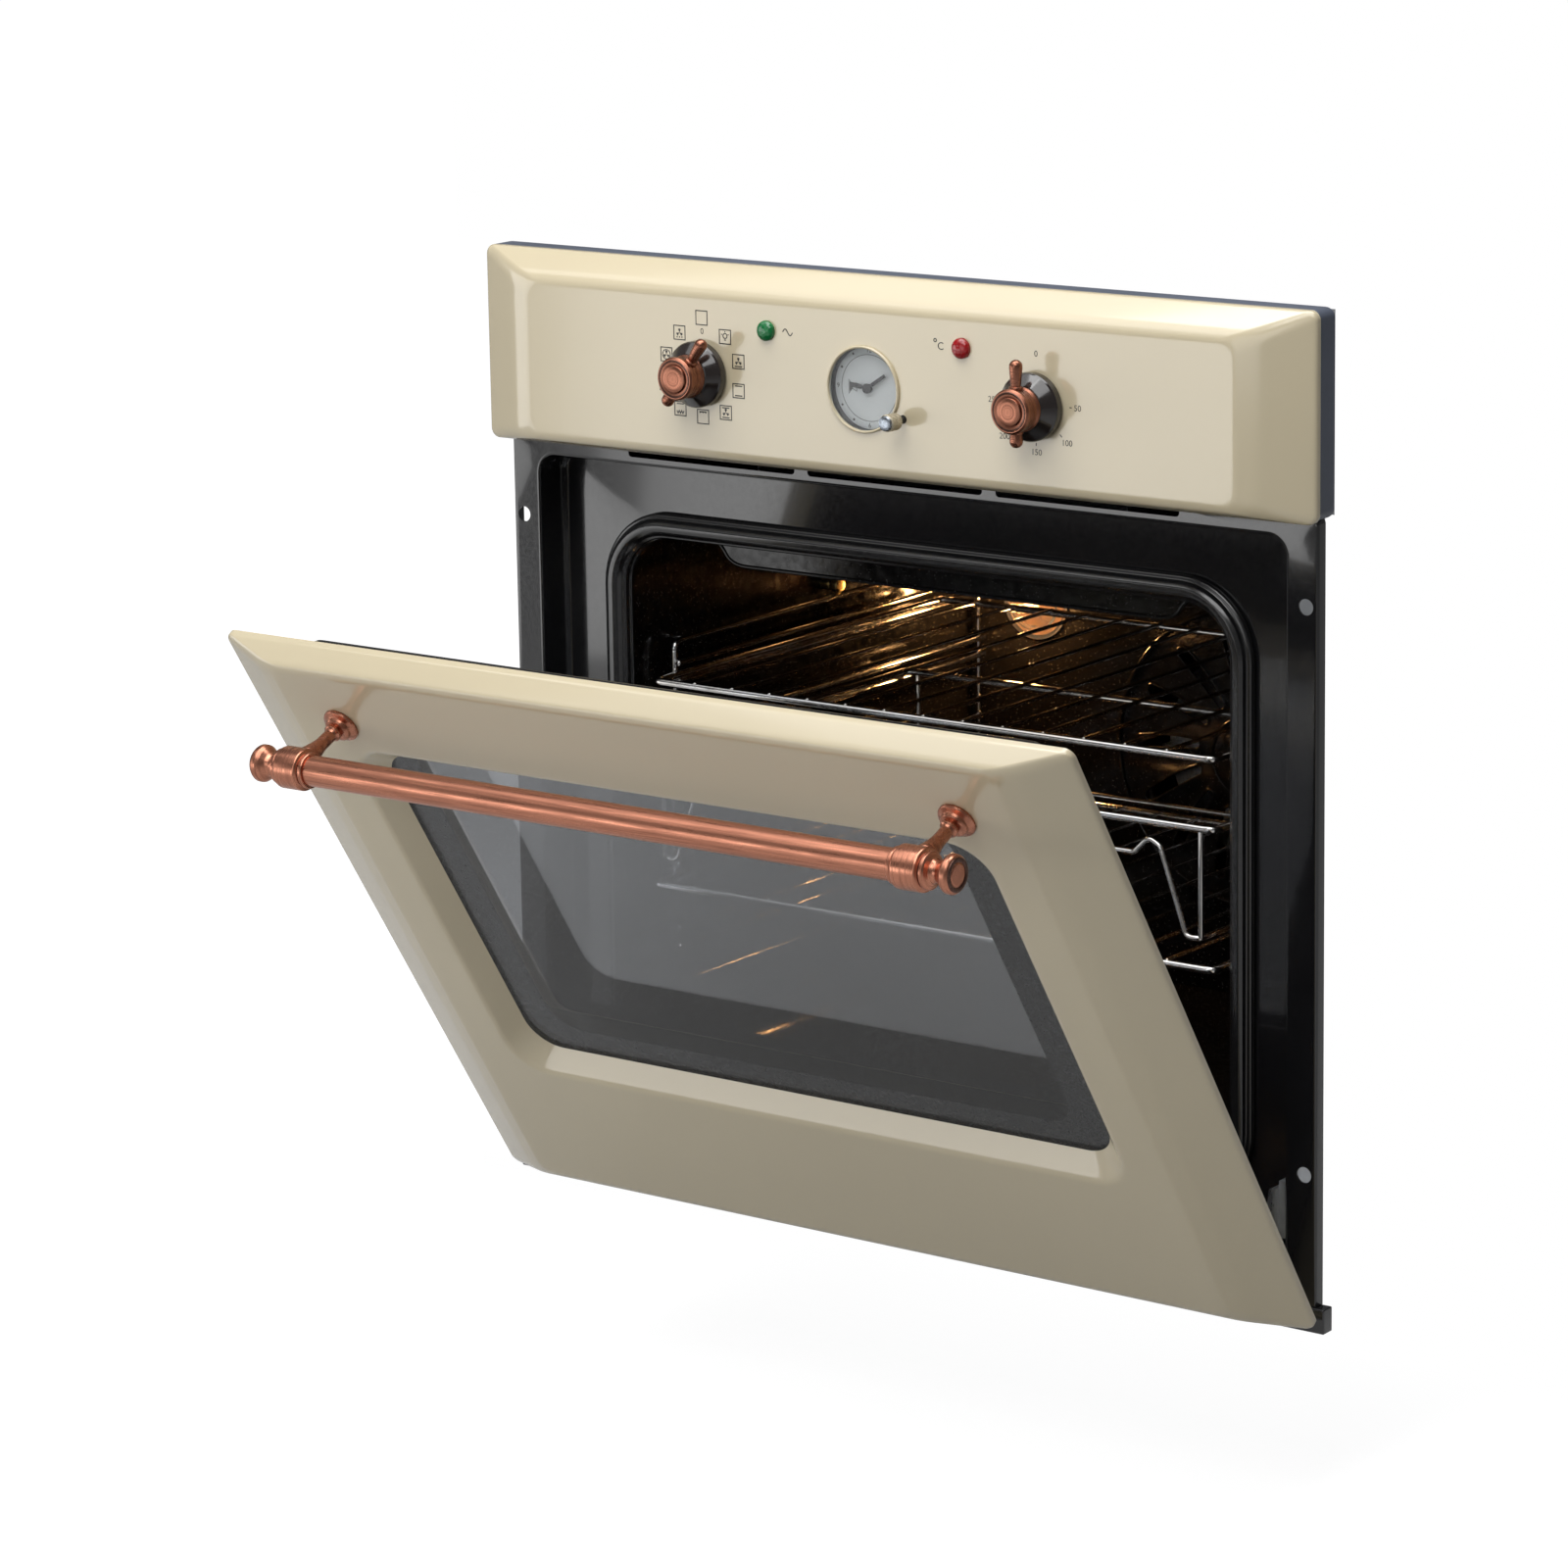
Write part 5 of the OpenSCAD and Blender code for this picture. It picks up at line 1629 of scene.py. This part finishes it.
class OVEN_OT_lamps(bpy.types.Operator):
    """Green and red signal lamps with domed lenses"""

    bl_idname = "oven.lamps"
    bl_label = "Signal lamps"

    def execute(self, context):
        p = plan()
        profile = [(0, -20), (5.6, -20), (5.6, -0.2), (6.15, 0.02)] + quarter(6.1, 3.1, 1.2)
        for side, name in ((-1, "green"), (1, "red")):
            shape = Shape().lathe(profile, (side * p.lamp_x, p.face_y, p.lamp_z), steps=48)
            piece(
                name + "_lamp_lens", shape, "casing", name + "_lens", name + " lens", name + "_lamp",
                angle=50,
            )
        return {"FINISHED"}


class OVEN_OT_door(bpy.types.Operator):
    """Cream door skin with its window, the panes, their printed border and the black inner panel"""

    bl_idname = "oven.door"
    bl_label = "Door"

    def execute(self, context):
        p = plan()
        self.skin(p)
        self.panes(p)
        self.inner_panel(p)
        return {"FINISHED"}

    def skin(self, p):
        outer, inner = dish_rings(p, p.door_low, p.door_high, p.long_bevel, p.short_bevel)
        y = p.face_y
        window = growing(p.window_half, p.window_low, p.window_high, 26)
        reveal = [(-4.5, y)] + bezier((-3, y), (0, y), (1.7, y + 1.7), 6)
        reveal += [(6, y + 6), (12, p.glass_y), (10.2, p.glass_y), (4.5, y + 6.4)]
        reveal += [(-1.2, y + 1.6), (-4.5, y + p.skin)]
        rings = outer
        rings += [window(-i, depth, 26 - 0.4 * max(i, 0) - min(i, 0)) for i, depth in reveal]
        shape = Shape().loft(rings + inner[::-1], closed=True)
        piece("door_skin_sheet", shape, "door", "cream_enamel", "cream enamel", "door_skin")

    def panes(self, p):
        low = p.window_low
        high = p.window_high
        near = p.glass_y
        far = p.pan_back - p.sheet
        # The panes' bevels stay sharp, or their flat faces would bend the light like a lens
        outer = rounded_sheet(p.window_half + 10, low - 10, high + 10, 12, near + 0.05, near + 4)
        inner = rounded_sheet(p.pan_window + 8, low + 18, high + 2, 8, far - 4, far - 0.05)
        piece(
            "outer_pane", outer, "door", "tinted_glass", "tinted glass", "outer_glass", angle=10
        )
        piece("inner_pane", inner, "door", "clear_glass", "clear glass", "inner_glass", angle=10)
        border = growing(p.window_half + 9, low - 9, high + 9, 11)
        clear = growing(p.window_half - 35, low + 30, high - 4, 20)
        front = near + 4.05
        back = front + 0.12
        rings = [border(0, front), border(0, back), clear(0, back), clear(0, front)]
        shape = Shape().loft(rings, closed=True)
        piece("pane_border", shape, "door", "black_enamel", "glass print")

    def inner_panel(self, p):
        """A deep pan round the inner pane, open towards the skin."""
        back = p.pan_back
        pan = growing(p.pan_half, p.pan_low, p.pan_high, 10)
        hole = growing(p.pan_window, p.window_low + 30, p.window_high - 8, 20)
        rings = [pan(0, p.back_y), pan(0, back - 4)]
        rings += [pan(-i, y, 10 - 0.4 * i) for i, y in bezier((0, back - 4), (0, back), (4, back))]
        rings += [pan(-9, back, 8), hole(14, back), hole(13, back)]
        rim = bezier((12, back), (9, back - 0.2), (8, back - 1.4), 4)
        rim += [(2, back - 1.7), (0.2, back - 1.5), (0, back - 1.9), (0.2, back - 2.4), (12, back - 2.4)]
        rings += [hole(grow, y) for grow, y in rim]
        rings += [pan(-9, back - 1.4, 8), pan(-4.6, back - 1.4, 8)]
        rings += [pan(-1.2, back - 4.2, 9), pan(-1.2, p.back_y, 9)]
        shape = Shape().loft(rings, closed=True)
        piece("door_inner_panel", shape, "door", "black_enamel", "black enamel", "door_pan")


class OVEN_OT_handle(bpy.types.Operator):
    """Brushed copper bar with turned ends, posts and rosettes"""

    bl_idname = "oven.handle"
    bl_label = "Handle"

    def execute(self, context):
        p = plan()
        bar = 2 * p.foot_x - 24
        profile = [(0, 0), (8.6, 0), (9, 0.5), (9, bar - 0.5), (8.6, bar), (0, bar)]
        rod = Shape().lathe(profile, (-bar / 2, p.bar_y, p.bar_z), "right")
        piece("handle_rod", rod, "door", "copper", "copper bar", "handle_bar")
        barrel = (
            (0, -12), (10.2, -12), (10.6, -11.4), (10.6, -9.6), (10.0, -9.0), (10.0, -8.6),
            (12.1, -8.0), (12.4, -7.2), (12.4, 7.2), (12.1, 8.0), (10.0, 8.6), (10.0, 9.0),
            (10.6, 9.6), (10.6, 11.4), (9.6, 12.2), (7.2, 13.4), (6.1, 15.4), (6.1, 17.0),
            (7.2, 19.2), (9.6, 21.4), (10.9, 23.2), (11, 24), (11, 26), (10.4, 27), (9.7, 27.6),
            (0, 27.6),
        )
        ring = ((6.9, 27.4), (9.6, 27.4), (9.5, 28.1), (8.9, 28.35), (7.6, 28.3), (6.9, 27.9))
        button = ((0, 27.3), (6.6, 27.3), (6.6, 27.9), (5.6, 28.3), (0, 28.45))
        foot = (
            (0, 0), (11.2, 0), (11.5, 0.5), (11.5, 1.6), (11.0, 2.3), (9.6, 3.0), (8.4, 3.6),
            (8.2, 5.0), (7.6, 5.9), (6.4, 6.4), (0, 6.4),
        )
        ends = Shape()
        posts = Shape()
        feet = Shape()
        for side in (-1, 1):
            toward = sideways(side)
            centre = Vector((side * p.foot_x, p.bar_y, p.bar_z))
            ends.lathe(soft(barrel, 0.25, 2), centre, toward, 64)
            for at in (-8.8, 8.8):
                groove = [(9.6, at - 0.45), (10.15, at - 0.4), (10.15, at + 0.4), (9.6, at + 0.45)]
                ends.lathe(groove, centre, toward, 64, slot=1, closed=True)
            ends.lathe(soft(ring, 0.2, 2), centre, toward, 64, slot=1, closed=True)
            ends.lathe(soft(button, 0.3, 3), centre, toward, 48)
            start = Vector((side * p.foot_x, p.face_y, p.foot_z))
            aim = centre - start
            reach = aim.length
            stem = (
                (0, 5.2), (4.9, 5.2), (4.9, 8.2), (5.4, 8.6), (5.4, 9.8), (4.4, 10.6), (4.0, 12),
                (4.0, 20), (4.6, 24), (5.8, reach - 15), (6.6, reach - 12.3), (6.6, reach - 11.2),
                (0, reach - 11),
            )
            posts.lathe(soft(stem, 0.4, 3), start, aim, 48)
            feet.lathe(soft(foot, 0.3, 3), start, steps=64)
        finishes = ("copper turned", "copper dark")
        piece("handle_turned_ends", ends, "door", "copper", finishes, "handle_ends")
        piece("handle_stems", posts, "door", "copper", "copper post", "handle_posts")
        piece("handle_rosettes", feet, "door", "copper", "copper post", "handle_feet")
        return {"FINISHED"}


class OVEN_OT_casing(bpy.types.Operator):
    """Screws of the casing, in rows on its sides and back"""

    bl_idname = "oven.casing"
    bl_label = "Casing screws"

    def execute(self, context):
        p = plan()
        head = ((0, -0.2), (3.7, -0.2), (3.8, 0.5), (3.2, 1.5), (2.0, 2.0), (0, 2.15))
        half = p.casing_half
        step = (0, 0, (p.casing_top - 60) / 2)
        parts = []
        for toward, x, y in (
            ("back", 12 - half, p.casing_end),
            ("back", half - 12, p.casing_end),
            ("right", half, p.rim_y + 52),
            ("right", half, p.casing_end - 88),
            ("left", -half, p.rim_y + 52),
            ("left", -half, p.casing_end - 88),
        ):
            shape = Shape().lathe(soft(head, 0.25, 2), (0, 0, 0), toward, 24)
            parts.append(repeated("screw_heads", shape, "plain steel", 3, (x, y, 30), step))
        heads = join_pieces("casing_screw_heads", parts)
        hand_over(heads, "casing", "zinc_sheet", "casing_screws")
        return {"FINISHED"}


# The CAD meshes that are shown as they are, by finish
SHOWN_AS_DRAWN = {
    "zinc sheet": (
        "casing_sides", "casing_top", "casing_back", "casing_base", "fan_motor", "thermostat",
        "blower_housing", "blower_motor", "hinge_receivers",
    ),
    "glass wool": ("insulation",),
    "plain steel": (
        "fan_wheel", "blower_wheel", "hinge_hooks", "hinge_casings", "door_springs", "spring_rods",
    ),
    "heater steel": ("ring_heater", "floor_element"),
    "pale ceramic": ("selector_switch",),
    "dark plastic": ("clock_case",),
    "pale plastic": ("terminal_box",),
}


class OVEN_OT_inner_works(bpy.types.Operator):
    """Finishes of the sheets and works that are carried over as they are"""

    bl_idname = "oven.inner_works"
    bl_label = "Inner works"

    def execute(self, context):
        for name, nodes in SHOWN_AS_DRAWN.items():
            for node in nodes:
                mesh = frame["nodes"][node].data
                mesh.materials.clear()
                mesh.materials.append(finish(name))
        return {"FINISHED"}


def white_to_camera(name, shade, lift):
    """A pale finish that the camera sees as white, with the object's shadow kept."""
    f = Finish(name)
    place = f.place()
    f.wear(f.coat(place, shade, tuple(c * 0.98 for c in shade), 2.0, 40.0, 0.8, 0.95), 0.02)
    path = f.node("ShaderNodeLightPath").outputs
    reach = f.node("ShaderNodeVectorMath", operation="LENGTH")
    f.link(place, reach.inputs[0])
    near, far = STUDIO["lift_reach"]
    rise = f.node("ShaderNodeMapRange")
    feed(f.tree, rise, Value=reach.outputs["Value"], From_Min=near, From_Max=far, To_Min=lift)
    shiny = f.math("MAXIMUM", path["Is Glossy Ray"], path["Is Transmission Ray"])
    mirrored = f.math("MULTIPLY", shiny, STUDIO["reflected_floor"])
    seen = f.node("ShaderNodeMix")
    feed(f.tree, seen, Factor=path["Is Camera Ray"], A=mirrored, B=rise.outputs["Result"])
    glow = feed(f.tree, f.node("ShaderNodeEmission"), Strength=seen.outputs["Result"])
    both = f.node("ShaderNodeAddShader")
    f.link(f.shader.outputs["BSDF"], both.inputs[0])
    f.link(glow.outputs["Emission"], both.inputs[1])
    f.link(both.outputs["Shader"], f.tree.nodes["Material Output"].inputs["Surface"])
    return f.material


def mask_white(name):
    """White on its front for the camera alone, fading out towards the floor, and not there otherwise."""
    f = Finish(name)
    f.tree.nodes.remove(f.shader)
    path = f.node("ShaderNodeLightPath").outputs
    side = f.node("ShaderNodeNewGeometry").outputs
    front = f.math("SUBTRACT", path["Is Camera Ray"], side["Backfacing"], clamp=True)
    split = f.node("ShaderNodeSeparateXYZ")
    f.link(f.place(), split.inputs["Vector"])
    fade = f.node("ShaderNodeMapRange")
    low, high = STUDIO["mask_fade"]
    feed(f.tree, fade, Value=split.outputs["Z"], From_Min=low * MM, From_Max=high * MM)
    glow = f.node("ShaderNodeEmission")
    clear = f.node("ShaderNodeBsdfTransparent")
    pick = f.node("ShaderNodeMixShader")
    f.link(f.math("MULTIPLY", front, fade.outputs["Result"]), pick.inputs["Fac"])
    f.link(clear.outputs["BSDF"], pick.inputs[1])
    f.link(glow.outputs["Emission"], pick.inputs[2])
    f.link(pick.outputs["Shader"], f.tree.nodes["Material Output"].inputs["Surface"])
    return f.material


# Lengths in millimetres, except the lights' places and sizes, the bulb's radius and the reach of
# the floor's lift, which are in metres; powers in watts
STUDIO = {
    "air": 0.04,
    "reflected_air": 0.15,
    "floor_z": -120,
    "floor_foot": -200,
    "floor_half": 9000,
    "floor_color": (0.42, 0.42, 0.42),
    "floor_lift": 0.88,
    "lift_reach": (0.8, 2.0),
    "reflected_floor": 0.22,
    "mask_fade": (-120, -10),
    "mask_sides": (-340, 900),
    "mask_top": 1000,
    "oven_lamp": 0.9,
    "bulb_radius": 0.012,
    "bulb_ahead": 22,
    "lights_aim": (0, 0, 300),
    "lights": (
        ("left window", (-2.08, -1.48, 0.3), (1.2, 1.2), 8.5),
        ("front panel", (0, -2.84, 0.75), (1.2, 1.2), 5),
        ("top panel", (0.1, -0.35, 2.1), (1.8, 1.0), 26),
        ("high left panel", (-0.97, -1.1, 2.34), (1.4, 1.4), 9),
        ("high front panel", (0.53, -1.73, 2.14), (1.4, 1.4), 21),
        ("far strip", (-1.37, -2.04, 2.31), (0.9, 1.6), 3.7),
        ("low card", (-1.15, -2.15, 0.15), (0.9, 0.5), 3.5),
    ),
}

# The photo's camera: place in metres, angles in degrees, lens and sensor in millimetres
CAMERA = {
    "place": (1.78832, -2.78459, 1.00761),
    "azimuth": 36.736,
    "pitch": 11.445,
    "roll": -0.954,
    "lens": 121.42,
    "sensor": 36,
    "shift_y": -0.1,
}


class OVEN_OT_stage(bpy.types.Operator):
    """Studio floor, backdrop, lights and the photo's camera"""

    bl_idname = "oven.stage"
    bl_label = "Studio"

    def execute(self, context):
        p = plan()
        self.world()
        self.floor()
        self.backdrop(p)
        self.lights(p)
        self.camera()
        return {"FINISHED"}

    def world(self):
        world = bpy.data.worlds.new("studio air")
        bpy.context.scene.world = world
        world.use_nodes = True
        tree = world.node_tree
        path = tree.nodes.new("ShaderNodeLightPath").outputs
        shiny = math_in(tree, "MAXIMUM", path["Is Glossy Ray"], path["Is Transmission Ray"])
        soft_air = tree.nodes.new("ShaderNodeMix")
        feed(tree, soft_air, Factor=shiny, A=STUDIO["air"], B=STUDIO["reflected_air"])
        seen = tree.nodes.new("ShaderNodeMix")
        feed(tree, seen, Factor=path["Is Camera Ray"], A=soft_air.outputs["Result"], B=1.0)
        air = tree.nodes["Background"]
        feed(tree, air, Strength=seen.outputs["Result"], Color=(1, 1, 1, 1))

    def floor(self):
        half = STUDIO["floor_half"]
        shape = Shape().board(-half, half, -half, half, STUDIO["floor_foot"], STUDIO["floor_z"], 1)
        white = white_to_camera("pale floor", STUDIO["floor_color"], STUDIO["floor_lift"])
        make_mesh("studio_floor", shape, placed(), [white])

    def backdrop(self, p):
        """A board behind the flange that hides the casing from a camera in front, as in the photo."""
        # Its inner edges lie a little inside the front's outline
        y = p.rim_y + 1
        left, right = STUDIO["mask_sides"]
        panel_foot = p.panel_low + 3
        panel_head = p.top - 1.5
        points = []
        for x0, x1, z0, z1 in (
            (left, right, panel_head, STUDIO["mask_top"]),
            (p.half - 1.5, right, panel_foot, panel_head),
            (p.frame_half - 1.0, right, 1, panel_foot),
            (left, right, STUDIO["floor_z"] + 1, 1),
        ):
            points += [(x0, y, z0), (x1, y, z0), (x1, y, z1), (x0, y, z1)]
        faces = [(i, i + 1, i + 2, i + 3) for i in range(0, len(points), 4)]
        mesh = bpy.data.meshes.new("photo_mask")
        mesh.from_pydata([placed() @ Vector(q) for q in points], [], faces)
        mesh.materials.append(mask_white("photo mask"))
        linked("photo_mask", mesh)

    def lights(self, p):
        """Large soft sources, aimed at the middle of the front, and the oven's own lamp."""
        middle = placed() @ Vector(STUDIO["lights_aim"])
        for name, place, size, power in STUDIO["lights"]:
            lamp = bpy.data.lights.new(name, "AREA")
            lamp.shape = "RECTANGLE"
            lamp.size, lamp.size_y = size
            lamp.energy = power
            source = linked(name, lamp)
            source.location = place
            source.rotation_euler = (Vector(place) - middle).to_track_quat("Z", "Y").to_euler()
        glow = bpy.data.lights.new("oven lamp", "POINT")
        glow.energy = STUDIO["oven_lamp"]
        glow.color = tuple(bpy.context.scene.oven_finishes.lamp_glow)
        glow.shadow_soft_size = STUDIO["bulb_radius"]
        bulb = linked("oven lamp", glow)
        bulb.visible_transmission = False
        bulb.visible_camera = False
        bulb.location = placed() @ (Vector(p.oven_lamp) - Vector((0, STUDIO["bulb_ahead"], 0)))

    def camera(self):
        lens = bpy.data.cameras.new("photo camera")
        lens.lens = CAMERA["lens"]
        lens.sensor_width = CAMERA["sensor"]
        lens.shift_y = CAMERA["shift_y"]
        lens.dof.use_dof = False
        viewer = linked("photo camera", lens)
        azimuth, pitch, roll = (math.radians(CAMERA[a]) for a in ("azimuth", "pitch", "roll"))
        viewer.matrix_world = (
            Matrix.Translation(CAMERA["place"])
            @ Matrix.Rotation(azimuth, 4, "Z")
            @ Matrix.Rotation(math.pi / 2 - pitch, 4, "X")
            @ Matrix.Rotation(roll, 4, "Z")
        )
        bpy.context.scene.camera = viewer
        bpy.context.scene.view_settings.view_transform = "Standard"


class OVEN_PT_panel(bpy.types.Panel):
    """The oven's sizes, finishes and pieces"""

    bl_idname = "OVEN_PT_panel"
    bl_label = "Built-in oven"
    bl_space_type = "VIEW_3D"
    bl_region_type = "UI"
    bl_category = "Oven"

    def draw(self, context):
        layout = self.layout
        for holder in (context.scene.oven_sizes, context.scene.oven_finishes):
            column = layout.column(align=True)
            for name in holder.__annotations__:
                column.prop(holder, name)
        column = layout.column(align=True)
        for operator in PIECES:
            column.operator(operator.bl_idname)


PIECES = (
    OVEN_OT_front_frame,
    OVEN_OT_control_panel,
    OVEN_OT_knobs,
    OVEN_OT_clock,
    OVEN_OT_lamps,
    OVEN_OT_door_seal,
    OVEN_OT_cavity,
    OVEN_OT_heaters,
    OVEN_OT_racks,
    OVEN_OT_shelves,
    OVEN_OT_door,
    OVEN_OT_handle,
    OVEN_OT_casing,
    OVEN_OT_inner_works,
    OVEN_OT_stage,
)

CLASSES = (OvenSizes, OvenFinishes) + PIECES + (OVEN_PT_panel,)


def register():
    for one in CLASSES:
        bpy.utils.register_class(one)
    bpy.types.Scene.oven_sizes = PointerProperty(type=OvenSizes)
    bpy.types.Scene.oven_finishes = PointerProperty(type=OvenFinishes)


def unregister():
    del bpy.types.Scene.oven_finishes
    del bpy.types.Scene.oven_sizes
    for one in reversed(CLASSES):
        bpy.utils.unregister_class(one)


def main():
    register()
    for operator in PIECES:
        group, name = operator.bl_idname.split(".")
        getattr(getattr(bpy.ops, group), name)()


if __name__ == "__main__":
    main()
